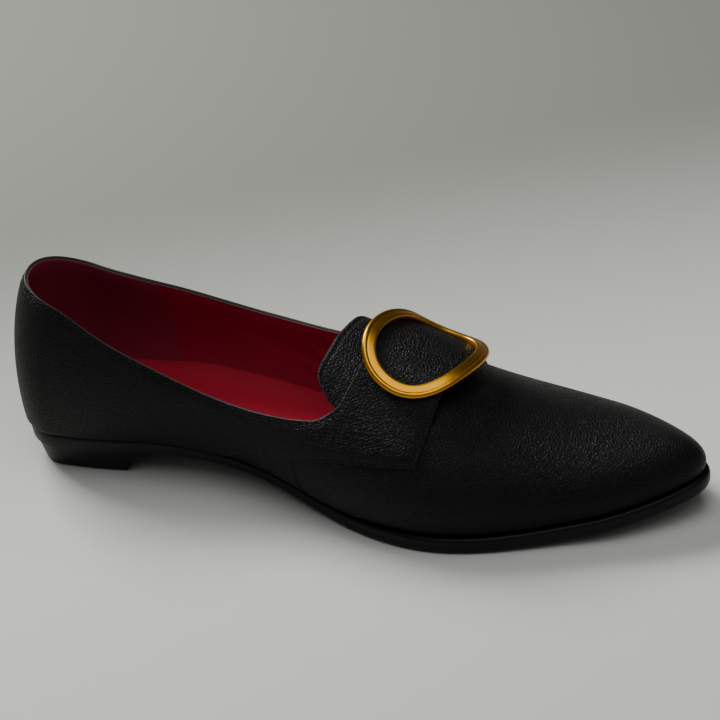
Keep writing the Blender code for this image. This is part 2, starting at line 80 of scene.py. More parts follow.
# Cross-sections of the last, from heel back to toe tip. along is the share of LAST_LENGTH, width the
# feather edge across, shift its middle towards the outer side and lean the crest's own shift, both as
# shares of BALL_WIDTH, rise the crest above the seat, swell_in and swell_out how far the wall stands
# out past the feather edge, as shares of WALL_SWELL, and full_in and full_out how square each half is.
Section = namedtuple("Section", "along width shift rise lean swell_in swell_out full_in full_out")
SECTIONS = (
    Section(0.00, 0.94 * HEEL_WIDTH, 0.000, 1.01 * CONE_RISE, 0.000, 0.16, 0.16, 2.0, 2.0),
    Section(0.13, 1.00 * HEEL_WIDTH, 0.000, 0.73 * CONE_RISE, 0.000, 0.42, 0.42, 2.0, 2.0),
    Section(0.38, 1.00 * WAIST_WIDTH, 0.025, 0.66 * CONE_RISE, 0.000, 1.00, 0.55, 3.0, 3.0),
    Section(0.55, 1.40 * WAIST_WIDTH, -0.068, 1.00 * INSTEP_RISE, 0.015, 0.65, 0.41, 2.3, 2.3),
    Section(0.66, 1.00 * BALL_WIDTH, -0.023, 1.00 * BALL_RISE, -0.020, 0.38, 0.38, 2.2, 1.65),
    Section(0.84, 1.00 * TOE_WIDTH, 0.025, 1.00 * TOE_RISE, -0.052, 0.25, 0.25, 2.3, 1.95),
    Section(1.00, 0.50 * TOE_WIDTH, -0.004, 0.58 * TOE_RISE, -0.047, 0.11, 0.11, 2.7, 2.6),
)
# Shares of the length over which the outline rounds off at heel and toe, and by which the crest leans
# in over them; the last is the share of a wall's rise over which it meets the sole upright
HEEL_ROUND = 0.07
TOE_ROUND = 0.14
CREST_BACK = 0.155
CREST_BACK_END = 0.42
CREST_FRONT = 0.08
CREST_FRONT_START = 0.74
FOOT_LEVEL = 0.12

# Heights of the collar above the seat on the inner and the outer side, as shares of BACK_HEIGHT
Collar = namedtuple("Collar", "along medial lateral")
COLLAR = (
    Collar(0.00, 1.000, 1.000),
    Collar(0.05, 0.933, 0.880),
    Collar(0.12, 0.796, 0.795),
    Collar(0.25, 0.584, 0.635),
    Collar(0.38, 0.515, 0.583),
    Collar(0.47, 0.574, 0.610),
)
COLLAR_END = 0.47

# The sole's underside: where the heel seat ends, the tread touches the floor and the toe lifts
SEAT_END = 0.20
TREAD_BACK = 0.56
TREAD_FRONT = 0.70
WAIST_THINNING = 0.2
WAIST_END = 0.45
WAIST_EASE = 0.15
LEDGE_START = 0.40
LEDGE_EASE = 0.30

# Where a latchet's front corner sits and where its strap starts, both across, and where the quarter's
# lower line leaves the sole, along
STRAP_FOOT = 0.63
STRAP_BASE = 0.54
QUARTER_FOOT_START = 0.33

# The latchets' rear edge from the crest down to the collar's end: across as a share of the half girth
# there, along as a share of LAST_LENGTH
LATCHET_REAR = (
    (0.00, 0.549), (0.25, 0.549), (0.53, 0.544), (0.68, 0.536),
    (0.80, 0.527), (0.87, 0.515), (0.94, 0.498), (1.00, 0.470),
)
# Their front edge from the medial foot corner over the crest to the lateral one
LATCHET_FRONT = (
    (-STRAP_FOOT, 0.644), (-0.38, 0.656), (-0.17, 0.660),
    (0.00, 0.666), (0.30, 0.674), (STRAP_FOOT, 0.672),
)
# The quarter's lower line: how much of the way it has gone to the front corner, and across
QUARTER_FOOT = (
    (0.00, 1.00), (0.21, 0.90), (0.45, 0.81), (0.64, 0.73), (0.86, 0.67), (1.00, STRAP_FOOT),
)
# How far past the crest each latchet ends, the width in which the upper one climbs, and that in which
# the ring comes down again beyond the upper one's end, across
MEDIAL_LAP_END = 0.20
LATERAL_LAP_END = 0.16
LAP_CLIMB = 0.30
LAP_FALL = 0.12
# Where the latchets leave the instep on the inner side and meet it again on the outer side, across
STRAP_LEAVE = (-0.50, -0.12)
STRAP_MEET = (0.28, 0.54)
# The vamp's throat at the crest, along, and the half widths of throat and tongue, across
THROAT = 0.61
THROAT_SIDE = 0.56
TONGUE_SIDE = 0.53
# The tongue's rear edge from the medial to the lateral side, across as a share of TONGUE_SIDE
TONGUE_REAR = (
    (-1.00, 0.536), (-0.98, 0.523), (-0.93, 0.507), (-0.87, 0.497), (-0.79, 0.493),
    (-0.68, 0.4955), (-0.55, 0.4995), (-0.25, 0.5055), (0.00, 0.510), (0.30, 0.514),
    (0.55, 0.519), (0.80, 0.529), (0.92, 0.539), (0.98, 0.549), (1.00, 0.560),
)
# The ring's middle, along the crest, how square its outline is, and its turn on the instep in radians
BUCKLE_PLACE = 0.6145
BUCKLE_SQUARENESS = 2.2
BUCKLE_TURN = -0.35
# How far over from the crest the ring's bars are laid out, across
BAR_REACH = 0.6

# Small step for directions on the last, and the two sides
STEP = 0.002
MEDIAL = -1
LATERAL = 1


def spline(rows):
    """A smooth curve through (place, value) rows, level beyond its ends."""
    x = [float(row[0]) for row in rows]
    y = [float(row[1]) for row in rows]
    last = len(x) - 1
    gaps = [x[i + 1] - x[i] for i in range(last)]
    slopes = [(y[i + 1] - y[i]) / gaps[i] for i in range(last)]
    spans = [0.0] * (last + 1)
    pulls = [0.0] * (last + 1)
    for i in range(1, last):
        part = gaps[i - 1] * spans[i - 1]
        base = 2 * (gaps[i - 1] + gaps[i]) - part
        spans[i] = gaps[i] / base
        pulls[i] = (6 * (slopes[i] - slopes[i - 1]) - gaps[i - 1] * pulls[i - 1]) / base
    bends = [0.0] * (last + 1)
    for i in range(last - 1, 0, -1):
        bends[i] = pulls[i] - spans[i] * bends[i + 1]

    def value(at):
        at = min(max(at, x[0]), x[last])
        i = min(bisect_right(x, at) - 1, last - 1)
        a = x[i + 1] - at
        b = at - x[i]
        g = gaps[i]
        cubic = (bends[i] * a**3 + bends[i + 1] * b**3) / (6 * g)
        ends = (y[i] / g - bends[i] * g / 6) * a + (y[i + 1] / g - bends[i + 1] * g / 6) * b
        return cubic + ends

    return value


def section_curve(column):
    return spline([(section.along, getattr(section, column)) for section in SECTIONS])


WIDTH = section_curve("width")
SHIFT = section_curve("shift")
RISE = section_curve("rise")
LEAN = section_curve("lean")
SWELL = {MEDIAL: section_curve("swell_in"), LATERAL: section_curve("swell_out")}
FULLNESS = {MEDIAL: section_curve("full_in"), LATERAL: section_curve("full_out")}
COLLAR_HEIGHT = {
    MEDIAL: spline([(row.along, row.medial) for row in COLLAR]),
    LATERAL: spline([(row.along, row.lateral) for row in COLLAR]),
}
REAR_EDGE = spline(LATCHET_REAR)
FRONT_EDGE = spline(LATCHET_FRONT)
FOOT_LINE = spline(QUARTER_FOOT)
TONGUE_EDGE = spline(TONGUE_REAR)


def smooth_step(t):
    t = min(max(t, 0.0), 1.0)
    return t * t * (3 - 2 * t)


def spread(start, end, count):
    return [start + (end - start) * i / count for i in range(count + 1)]


def along_of(u):
    """Share of the length at column place u, which bunches the columns at heel back and toe tip."""
    return (1 - math.cos(math.pi * min(max(u, 0.0), 1.0))) / 2


def place_of(along):
    return math.acos(1 - 2 * min(max(along, 0.0), 1.0)) / math.pi


def end_rounding(along):
    """1 along the foot, falling to 0 in an elliptic arc at heel back and toe tip."""
    cap = 1.0
    if along < HEEL_ROUND:
        cap *= math.sqrt(max(0.0, 1 - (1 - along / HEEL_ROUND) ** 2))
    if along > 1 - TOE_ROUND:
        cap *= math.sqrt(max(0.0, 1 - ((along - 1 + TOE_ROUND) / TOE_ROUND) ** 2))
    return cap


def underside(along):
    """Height of the sole's underside over the floor, along the length."""
    if along <= TREAD_FRONT:
        return HEEL_HEIGHT * (1 - smooth_step((along - SEAT_END) / (TREAD_BACK - SEAT_END)))
    return TOE_SPRING * ((along - TREAD_FRONT) / (1 - TREAD_FRONT)) ** 2


def sole_thickness(along):
    waist = smooth_step((along - SEAT_END) / WAIST_EASE) * (1 - smooth_step((along - WAIST_END) / WAIST_EASE))
    return SOLE_THICKNESS * (1 - WAIST_THINNING * waist)


def seat(x):
    """Height of the upper's foot above the floor at length x from the heel back."""
    along = x / LAST_LENGTH
    return underside(along) + sole_thickness(along) + SEAM_GAP


@lru_cache(maxsize=None)
def feather(side, along):
    """Plan point of the feather edge, where the wall meets the sole."""
    half = WIDTH(along) / 2 * end_rounding(along)
    return along * LAST_LENGTH, SHIFT(along) * BALL_WIDTH + side * half


@lru_cache(maxsize=None)
def outward(side, along):
    """Horizontal direction that points out of the feather edge."""
    u = place_of(along)
    ahead = feather(side, along_of(u + STEP))
    behind = feather(side, along_of(u - STEP))
    run_x = ahead[0] - behind[0]
    run_y = ahead[1] - behind[1]
    length = math.hypot(run_x, run_y)
    return -side * run_y / length, side * run_x / length


def feather_offset(side, along, distance):
    """The feather edge's plan point moved outwards by the distance."""
    x, y = feather(side, along)
    out_x, out_y = outward(side, along)
    return x + out_x * distance, y + out_y * distance


def crest_share(along):
    """Length share of a column's crest point: the same as its feet but for the rounds of heel and toe."""
    back = max(0.0, 1 - along / CREST_BACK_END)
    front = max(0.0, (along - CREST_FRONT_START) / (1 - CREST_FRONT_START))
    return along + CREST_BACK * back**2 - CREST_FRONT * front**2


@lru_cache(maxsize=None)
def bare_skin(along, across):
    """The upper's outer surface, and the share of the crest's height it has there."""
    side = MEDIAL if across < 0 else LATERAL
    turn = (1 - abs(across)) * math.pi / 2
    power = FULLNESS[side](along)
    out = max(math.cos(turn), 0.0)
    level = math.sin(turn)
    radius = (out**power + level**power) ** (-1 / power)
    out *= radius
    level *= radius
    share = crest_share(along)
    crest_x = share * LAST_LENGTH
    crest_y = LEAN(share) * BALL_WIDTH
    foot_x, foot_y = feather(side, along)
    # 6.75 brings the greatest value of the last two factors to 1
    swell = SWELL[side](along) * WALL_SWELL * 6.75 * level * (1 - level) ** 2
    out_x, out_y = outward(side, along)
    x = crest_x + (foot_x - crest_x) * out + out_x * swell
    y = crest_y + (foot_y - crest_y) * out + out_y * swell
    return Vector((x, y, seat(x) + RISE(x / LAST_LENGTH) * level)), level


def skin_normal(along, across):
    u = place_of(along)
    run = bare_skin(along_of(u + STEP), across)[0] - bare_skin(along_of(u - STEP), across)[0]
    low = max(across - STEP, -1.0)
    high = min(across + STEP, 1.0)
    rise = bare_skin(along, high)[0] - bare_skin(along, low)[0]
    return run.cross(rise).normalized()


def skin(along, across, lift=0.0):
    """A point lifted off the upper's outer surface.

    across runs from -1 at the medial feather edge over the crest at 0 to 1 at the lateral one.
    """
    point, level = bare_skin(along, across)
    if lift == 0.0:
        return point.copy()
    upright = smooth_step(level / FOOT_LEVEL)
    normal = skin_normal(along, across)
    normal.z *= upright
    lifted = point + normal.normalized() * lift
    lifted.z += (1 - upright) * (seat(lifted.x) - seat(point.x))
    return lifted


def level_height(along, across):
    """Height of a place on the skin above the upper's foot."""
    point = bare_skin(along, across)[0]
    return point.z - seat(point.x)


def place_at(side, along, height, rounds=30):
    """The place across at which the wall has a height over the upper's foot."""
    low, high = 0.0, 1.0
    for _ in range(rounds):
        middle = (low + high) / 2
        if level_height(along, side * middle) > height:
            low = middle
        else:
            high = middle
    return (low + high) / 2


def collar_place(side, along, drop=0.0, rounds=30):
    """The place across on the top line, a drop below it."""
    return place_at(side, along, COLLAR_HEIGHT[side](along) * BACK_HEIGHT - drop, rounds)


CORNER = {side: collar_place(side, COLLAR_END, rounds=40) for side in (MEDIAL, LATERAL)}


def strap_rear(across):
    side = MEDIAL if across < 0 else LATERAL
    return REAR_EDGE(abs(across) / CORNER[side])


def throat_along(across):
    """The vamp's throat under the latchets: from the collar's sweep on one side over to the other."""
    side = MEDIAL if across < 0 else LATERAL
    back = strap_rear(side * THROAT_SIDE)
    share = min(abs(across) / THROAT_SIDE, 1.0)
    return back + (THROAT - back) * math.sqrt(1 - share**2)


def quarter_foot(side, along):
    """Lower edge of the quarter: on the sole at the back, then over the vamp to the latchet's corner."""
    corner = FRONT_EDGE(side * STRAP_FOOT)
    return FOOT_LINE((along - QUARTER_FOOT_START) / (corner - QUARTER_FOOT_START))


# Thicknesses of the leathers and linings, and how the pieces are finished, in metres; SKIVE_EDGE and
# BACKING_EDGE are the shares of a leather's thickness that stay at its thinned edge
UPPER_LEATHER = 0.0009
LINING = 0.0005
GRIP_THICKNESS = 0.0003
LINING_DROP = 0.0003
UPPER_DROP = 0.0022
COLLAR_ROLL = 0.0040
COLLAR_LEATHER = 0.0006
COLLAR_DIP = 0.0003
SKIVE_WIDTH = 0.005
SKIVE_EDGE = 0.45
TURN_UNDER = 0.0013
TURN_DEPTH = 0.00075
SOCK_TURN_UP = 0.0035
SOCK_FILLET = 0.009
BUCKLE_PRESS = 0.0006
SEAM_INSET = 0.0014
TONGUE_SEAM_INSET = 0.0021
SEAM_START = 0.012
BACKING_SKIVE = 0.003
BACKING_EDGE = 0.3
COLLAR_TUCK = 0.0012
GRIP_DROP = 0.0004
TONGUE_LINING = (-0.0011, -0.0017)
TONGUE_LINING_INSET = 0.0006
SOCK_EASE = 0.0001
STITCH_PITCH = 0.00165
STITCH_LENGTH = 0.00118
THREAD = 0.00034
THREAD_SINK = 0.00008
TACK_LENGTH = 0.0095
STITCH_SLANT = 0.10
STITCH_SEED = 3
# Front edge of the heel grip at the collar and at the foot, along, its lower edge, across, and the bar of
# stitches that ends a latchet's front seam, across
GRIP_TOP = 0.174
GRIP_FOOT = 0.202
GRIP_LOW = 0.985
TACK_ACROSS = 0.525
# How far a piece's sweep into the throat moves forward for its drop below the collar, and the share of
# the length over which it starts to; and where a quarter's thinning towards its lower line starts, across
SWEEP_SHIFT = 0.6
SWEEP_EASE = 0.02
THIN_START = 0.28
THIN_EASE = 0.2
# How much a quarter draws in where it turns under, and from where down, across; and how far before the
# lateral latchet's end the medial one starts to climb, in shares of LAP_CLIMB
QUARTER_DRAW = 0.6
FOOT_ZONE = 0.8
CLIMB_LEAD = 1.1
# Metres of skin for one unit across at the collar, beside the latchet's foot and on the tongue
COLLAR_GIRTH = 0.075
FOOT_GIRTH = 0.08
TONGUE_GIRTH = 0.04
# How far down a latchet's rear seam and its folded edge reach, as shares of the half girth at the collar's
# end, how much of the tongue's width its seam takes, and how far the tongue and its lining run on
SEAM_REACH = 0.86
FOLD_EDGE_REACH = 0.93
TONGUE_SEAM_REACH = 0.97
TONGUE_RUN_ON = (-0.0004, 0.003)
# The sole's lower edge is square up to SQUARE_END along and SQUARE_TOP of the thickness
SQUARE_END = 0.19
SQUARE_EASE = 0.03
SQUARE_TOP = 0.4
SQUARE_SHARE = 0.85
# The heel block's sides: where its taper starts over the tread bevel, and how hollow it is
TAPER_START = 0.12
TAPER_POWER = 1.2
# Rings of the sock as shares of its turned-up height, and how hollow the turn is
SOCK_LEVELS = (0.0, 0.3, 0.65, 1.0)
SOCK_FOOT_INSET = 0.0005
SOCK_HOLLOW = 2.2

# Rows and columns of the smooth pieces
WALL_ROWS = 44
COLLAR_COLUMNS = 110
SWEEP_COLUMNS = 16
THROAT_COLUMNS = 30
FRONT_COLUMNS = 90
STRAP_COLUMNS = 34
STRAP_ROWS = 66
EDGE_STEPS = 6
SEAM_PLACES = 60
REAR_PLACES = 70
FOLD_PLACES = 160
TACK_PLACES = 12
RING_STEPS = 220
RING_EASING = 24
FAR_OFF = 0.02


def turned_under(along, across):
    """How far the leather draws in where it turns under the last at its foot."""
    share = max(0.0, 1 - level_height(along, across) / TURN_UNDER)
    return -TURN_DEPTH * (1 - math.sqrt(max(0.0, 1 - share * share)))


def collar_places(side, drop=0.0):
    """(along, across) down the top line from the heel back to where the latchet leaves it."""
    alongs = [along_of(u) for u in spread(0, place_of(COLLAR_END), COLLAR_COLUMNS)]
    places = [(along, collar_place(side, along, drop)) for along in alongs]
    shift = drop / LAST_LENGTH * SWEEP_SHIFT
    for across in spread(places[-1][1], THROAT_SIDE, SWEEP_COLUMNS)[1:]:
        along = strap_rear(side * across)
        ease = min((along - COLLAR_END) / SWEEP_EASE, 1.0)
        places.append((along + shift * ease, across))
    return places


def metric(along, across):
    """Metres of skin for one unit along and one across at a place."""
    reach = 2 * STEP
    a = bare_skin(along + reach, across)[0] - bare_skin(along - reach, across)[0]
    b = bare_skin(along, across + reach)[0] - bare_skin(along, across - reach)[0]
    return a.length / (2 * reach), b.length / (2 * reach)


def inset_line(places, distance):
    """A line of places moved sideways on the skin, to the left of its run."""
    moved = []
    for i, (along, across) in enumerate(places):
        before = places[max(i - 1, 0)]
        after = places[min(i + 1, len(places) - 1)]
        run_a, run_c = metric(along, across)
        step_a = (after[0] - before[0]) * run_a
        step_c = (after[1] - before[1]) * run_c
        pull = distance / math.hypot(step_a, step_c)
        moved.append((along - step_c * pull / run_a, across + step_a * pull / run_c))
    return moved


def key_of(along, across):
    """One name for each place on the skin: both sides share the columns at heel back and toe tip."""
    if along < 1e-9 or along > 1 - 1e-9:
        across = abs(across)
    return round(along, 7), round(across, 7)


def grid_faces(grid):
    """Quads over a grid of point numbers; a quad with a repeated corner becomes a triangle."""
    faces = []
    for left, right in zip(grid, grid[1:]):
        for j in range(len(left) - 1):
            ring = [left[j], right[j], right[j + 1], left[j + 1]]
            corners = [v for k, v in enumerate(ring) if v != ring[k - 1]]
            if len(corners) > 2:
                faces.append(corners)
    return faces


def ring_walls(count, n):
    """Faces between stacked rings of n points each."""
    faces = []
    for r in range(count - 1):
        for i in range(n):
            j = (i + 1) % n
            faces.append((r * n + i, r * n + j, (r + 1) * n + j, (r + 1) * n + i))
    return faces


def near_tree(points):
    tree = kdtree.KDTree(len(points))
    for i, point in enumerate(points):
        tree.insert(point, i)
    tree.balance()
    return tree


def lines_tree(lines):
    """Finds the nearest point of lines of places on the skin, or None where there are none."""
    return near_tree([skin(*place) for line in lines for place in line]) if lines else None


def linked(name, data):
    obj = bpy.data.objects.new(name, data)
    bpy.context.scene.collection.objects.link(obj)
    return obj


def finished(name, points, faces, materials, replaces=(), face_materials=None, attributes=None):
    """A mesh object in the shoe's own place, smooth, on the root body."""
    mesh = bpy.data.meshes.new(name)
    mesh.from_pydata([tuple(p) for p in points], [], faces)
    for material in materials:
        mesh.materials.append(material)
    if face_materials:
        mesh.polygons.foreach_set("material_index", face_materials)
    for title, values in (attributes or {}).items():
        mesh.attributes.new(title, "FLOAT", "POINT").data.foreach_set("value", values)
    mesh.transform(TO_ORIGIN)
    mesh.shade_smooth()
    mesh.validate()
    return settled(linked(name, mesh), replaces)


def settled(obj, replaces=()):
    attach(obj, "root")
    if replaces:
        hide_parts(*replaces)
    return obj


def sheet(name, patches, inner, outer, materials, replaces=(), painted=(), seams=(), folds=(),
          bulge=0.6):
    """A piece of leather on the last: an outer and an inner face, with a rounded edge between them.

    inner and outer give the lift of the two faces for (along, across, distance to the painted edge).
    seams are the stitched lines, which pull the leather in, and folds the folded edges.
    """
    numbers = {}
    places = []

    def index(along, across):
        key = key_of(along, across)
        if key not in numbers:
            numbers[key] = len(places)
            places.append((along, across))
        return numbers[key]

    quads = []
    for patch in patches:
        quads += grid_faces([[index(*place) for place in column] for column in patch])
    edges = {(quad[k - 1], quad[k]) for quad in quads for k in range(len(quad))}
    free = sorted(edge for edge in edges if (edge[1], edge[0]) not in edges)
    after = {a: b for a, b in free}
    before = {b: a for a, b in free}
    base = [skin(*place) for place in places]
    painted_numbers = {numbers[key_of(*place)] for place in painted if key_of(*place) in numbers}
    paint_tree = near_tree([base[i] for i in painted_numbers]) if painted_numbers else None
    seam_tree = lines_tree(seams)
    fold_tree = lines_tree(folds)
    outside, inside, fold, seam = [], [], [], []
    for i, (along, across) in enumerate(places):
        to_paint = paint_tree.find(base[i])[2] if paint_tree else 1.0
        outside.append(skin(along, across, outer(along, across, to_paint)))
        inside.append(skin(along, across, inner(along, across, to_paint)))
        fold.append(min(fold_tree.find(base[i])[2], FAR_OFF) if fold_tree else FAR_OFF)
        seam.append(min(seam_tree.find(base[i])[2], FAR_OFF) if seam_tree else FAR_OFF)
    count = len(places)
    points = outside + inside
    edge_rows = {}
    edge_fold = []
    for a in after:
        run = (base[after[a]] - base[before[a]]).normalized()
        half = (outside[a] - inside[a]) / 2
        out = run.cross(half.normalized()).normalized() * half.length * bulge
        points[a] = outside[a] - out
        points[a + count] = inside[a] - out
        middle = (outside[a] + inside[a]) / 2 - out
        row = [a]
        for k in range(1, EDGE_STEPS):
            turn = math.pi * k / EDGE_STEPS
            row.append(len(points))
            points.append(middle + half * math.cos(turn) + out * math.sin(turn))
            edge_fold.append(fold[a])
        edge_rows[a] = row + [a + count]
    faces = quads + [[v + count for v in reversed(quad)] for quad in quads]
    kinds = [0] * len(quads) * 2
    edge_kind = len(materials) - 1
    for a, b in free:
        is_painted = a in painted_numbers and b in painted_numbers
        for k in range(EDGE_STEPS):
            faces.append((edge_rows[b][k], edge_rows[a][k], edge_rows[a][k + 1], edge_rows[b][k + 1]))
            kinds.append(edge_kind if is_painted and 0 < k else 0)
    attributes = {"fold": fold + fold + edge_fold, "seam": seam + seam + [FAR_OFF] * len(edge_fold)}
    return finished(name, points, faces, materials, replaces, kinds, attributes)


def medial_to_lateral(side, columns):
    """Columns of (along, unsigned across) from the foot up, turned to run from medial to lateral."""
    if side == MEDIAL:
        return [[(a, -v) for a, v in column] for column in columns]
    return [list(reversed(column)) for column in columns]


def wall_patches(drop):
    """The upper's whole wall: back under the collar, throat and front, for both sides."""
    patches = []
    tops_all = []
    for side in (MEDIAL, LATERAL):
        tops = collar_places(side, drop)
        tops_all += signed(side, tops)
        start, side_end = tops[-1]
        for turn in spread(0, math.pi / 2, THROAT_COLUMNS)[1:-1]:
            tops.append((start + (THROAT - start) * math.sin(turn), side_end * math.cos(turn)))
        tops += [(along_of(u), 0.0) for u in spread(place_of(THROAT), 1, FRONT_COLUMNS)]
        columns = [[(a, v) for v in spread(1.0, top, WALL_ROWS)] for a, top in tops]
        patches.append(medial_to_lateral(side, columns))
    return patches, tops_all


def make_upper():
    """Black leather of vamp and quarter backing, turned under at its foot."""
    patches, tops = wall_patches(UPPER_DROP)
    sheet("upper_leather", patches,
          lambda along, across, to_paint: -UPPER_LEATHER * (BACKING_EDGE + (1 - BACKING_EDGE)
                                                            * smooth_step(to_paint / BACKING_SKIVE)),
          lambda along, across, to_paint: turned_under(along, across),
          [BLACK_LEATHER], ["upper"], painted=tops)


FOLD_REACH = 0.01
# along, across, length along, width, depth, turn in radians
LINING_FOLDS = (
    (0.430, 0.800, 0.020, 0.0011, 0.00055, 0.35),
    (0.452, 0.775, 0.014, 0.0009, -0.00045, 0.20),
    (0.405, 0.860, 0.017, 0.0012, 0.00040, 0.30),
    (0.345, 0.800, 0.026, 0.0022, -0.00030, 0.10),
)


def lining_fold(along, across):
    """Soft creases where the lining gathers near the throat on the outer side, in metres of depth."""
    total = 0.0
    for fold_along, fold_across, length, width, depth, turn in LINING_FOLDS:
        run = (along - fold_along) * LAST_LENGTH
        rise = (across - fold_across) * COLLAR_GIRTH
        if abs(run) > length or abs(rise) > FOLD_REACH:
            continue
        c, s = math.cos(turn), math.sin(turn)
        along_fold = (run * c + rise * s) / length
        over_fold = (-run * s + rise * c) / width
        total += depth * math.exp(-4 * along_fold**2 - over_fold**2)
    return total


def lining_top(to_collar):
    """Lift of the lining's outer face, which rises towards the collar's thin edge."""
    return (UPPER_LEATHER - COLLAR_DIP) * (1 - smooth_step(to_collar / COLLAR_ROLL)) - UPPER_LEATHER


def make_lining():
    """Red lining inside quarters and vamp, its cut edge a little below the collar's."""
    patches, tops = wall_patches(LINING_DROP)
    sheet("lining", patches,
          lambda along, across, to_paint: lining_top(to_paint) - LINING - lining_fold(along, across),
          lambda along, across, to_paint: lining_top(to_paint),
          [LINING_RED, LINING_EDGE], painted=tops, bulge=0.8)


def make_heel_grip():
    """Wine-red heel grip over the lining at the back, with its front edge leaning forward."""
    patches = []
    painted = []
    for side in (MEDIAL, LATERAL):
        columns = []
        for u in spread(0, 1, 60):
            column = []
            for share in spread(1.0, 0.0, 40):
                along = along_of(u * place_of(GRIP_TOP + (GRIP_FOOT - GRIP_TOP) * share))
                top = collar_place(side, along, LINING_DROP + GRIP_DROP)
                column.append((along, top + (GRIP_LOW - top) * share))
            painted.append((column[-1][0], side * column[-1][1]))
            columns.append(column)
        patches.append(medial_to_lateral(side, columns))
    sheet("heel_grip", patches,
          lambda along, across, to_paint: lining_top(to_paint) - LINING - GRIP_THICKNESS,
          lambda along, across, to_paint: lining_top(to_paint) - LINING,
          [GRIP_WINE], painted=painted)


def strap_stand(across):
    """How far the latchets stand off the instep as they pass over it."""
    leave = smooth_step((across - STRAP_LEAVE[0]) / (STRAP_LEAVE[1] - STRAP_LEAVE[0]))
    meet = smooth_step((across - STRAP_MEET[0]) / (STRAP_MEET[1] - STRAP_MEET[0]))
    return STRAP_RISE * leave * (1 - meet)


def lap_lift(side, across):
    """Height of a latchet's underside: the medial one climbs over the end of the lateral one."""
    stand = SEAM_GAP / 3 + strap_stand(across)
    if side == LATERAL:
        return stand
    climb = smooth_step((across + LATERAL_LAP_END + CLIMB_LEAD * LAP_CLIMB) / LAP_CLIMB)
    return stand + (QUARTER_LEATHER + SEAM_GAP) * climb


def foot_and_front(side):
    """The quarter's lower line from the sole forward and its front edge up to the crest, as places."""
    corner = FRONT_EDGE(side * STRAP_FOOT)
    alongs = spread(QUARTER_FOOT_START + SEAM_START, corner, SEAM_PLACES)
    foot = [(along, quarter_foot(side, along)) for along in alongs]
    front = [(FRONT_EDGE(side * across), across) for across in spread(STRAP_FOOT, 0.05, SEAM_PLACES)]
    return foot, front


def rear_edge(side, reach, count):
    """A latchet's rear edge from a share of the half girth down from the crest up to the crest."""
    return [(strap_rear(side * across), across) for across in spread(CORNER[side] * reach, 0.0, count)]


def quarter_seams(side):
    """Stitched lines of a quarter as unsigned places: lower line, front corner and bar, rear edge."""
    foot, front = (inset_line(line, -SEAM_INSET) for line in foot_and_front(side))
    front = [p for p in front if p[1] < STRAP_FOOT - SEAM_INSET / FOOT_GIRTH]
    foot = [p for p in foot if p[0] < front[0][0]]
    bar_top = [p for p in front if p[1] >= TACK_ACROSS]
    bar = [(bar_top[-1][0] - TACK_LENGTH / LAST_LENGTH * t, TACK_ACROSS) for t in spread(0, 1, TACK_PLACES)]
    return foot + bar_top + bar[1:], inset_line(rear_edge(side, SEAM_REACH, REAR_PLACES), SEAM_INSET)


def signed(side, places):
    return [(along, side * across) for along, across in places]


def quarter_lift(side):
    """Lift of the quarter's outer face: thinned towards its lower line, turned under at the sole."""
    foot, front = foot_and_front(side)
    thin_tree = lines_tree([signed(side, foot + front)])

    def lift(along, across):
        under = lap_lift(side, across)
        edge = thin_tree.find(skin(along, across))[2]
        thinned = 1 - (1 - SKIVE_EDGE) * (1 - smooth_step(edge / SKIVE_WIDTH))
        share = smooth_step((abs(across) - THIN_START) / THIN_EASE) if across * side >= 0 else 0.0
        drawn = turned_under(along, across) * QUARTER_DRAW if abs(across) > FOOT_ZONE else 0.0
        return under + QUARTER_LEATHER * (1 + (thinned - 1) * share) + drawn

    return lift


def make_quarter(name, side, lap_end, replaced):
    """One black quarter with its latchet, its collar edge turned over the wall and painted."""
    tops = collar_places(side)
    # the column that leaves half a seam's gap beside the heel's middle line
    tops[0] = (along_of(STEP * SEAM_GAP / 4 / feather(LATERAL, along_of(STEP))[1]), tops[0][1])
    painted = signed(side, tops)
    base = strap_rear(side * STRAP_BASE)
    tops.append((base, STRAP_BASE))
    body = [[(a, v) for v in spread(quarter_foot(side, a), top, WALL_ROWS)] for a, top in tops]
    corner = FRONT_EDGE(side * STRAP_FOOT)
    wing = []
    strap = []
    for share in spread(0, 1, STRAP_COLUMNS):
        foot = quarter_foot(side, base + share * (corner - base))
        wing.append([(base + share * (FRONT_EDGE(side * across) - base), across)
                     for across in spread(foot, STRAP_BASE, WALL_ROWS)])
        column = []
        for across in spread(STRAP_BASE, -lap_end, STRAP_ROWS):
            rear = strap_rear(side * across)
            column.append((rear + share * (FRONT_EDGE(side * across) - rear), across))
        strap.append(column)
    patches = [medial_to_lateral(side, columns) for columns in (body, wing, strap)]
    lift = quarter_lift(side)

    def outer(along, across, to_paint):
        return lift(along, across) - COLLAR_LEATHER * (1 - smooth_step(to_paint / COLLAR_ROLL))

    def inner(along, across, to_paint):
        dip = 1 - smooth_step((to_paint - COLLAR_TUCK) / COLLAR_TUCK)
        return lap_lift(side, across) * (1 - dip) - COLLAR_DIP * dip

    sheet(name, patches, inner, outer, [BLACK_LEATHER, EDGE_PAINT], [replaced],
          painted=painted, seams=[signed(side, line) for line in quarter_seams(side)],
          folds=[signed(side, rear_edge(side, FOLD_EDGE_REACH, FOLD_PLACES))])


def tongue_rows(inset, reach, count=64, depth=24):
    """Tongue's places from its rear edge to the throat, drawn in by inset and run on by reach."""
    rows = []
    for turn in spread(-math.pi / 2, math.pi / 2, count):
        share = math.sin(turn) * (1 - inset / TONGUE_GIRTH)
        across = share * TONGUE_SIDE
        front = throat_along(across) + reach / LAST_LENGTH
        rear = TONGUE_EDGE(math.sin(turn)) + inset / LAST_LENGTH
        rows.append([(a, across) for a in spread(rear, front, depth)])
    return [list(column) for column in zip(*rows)]


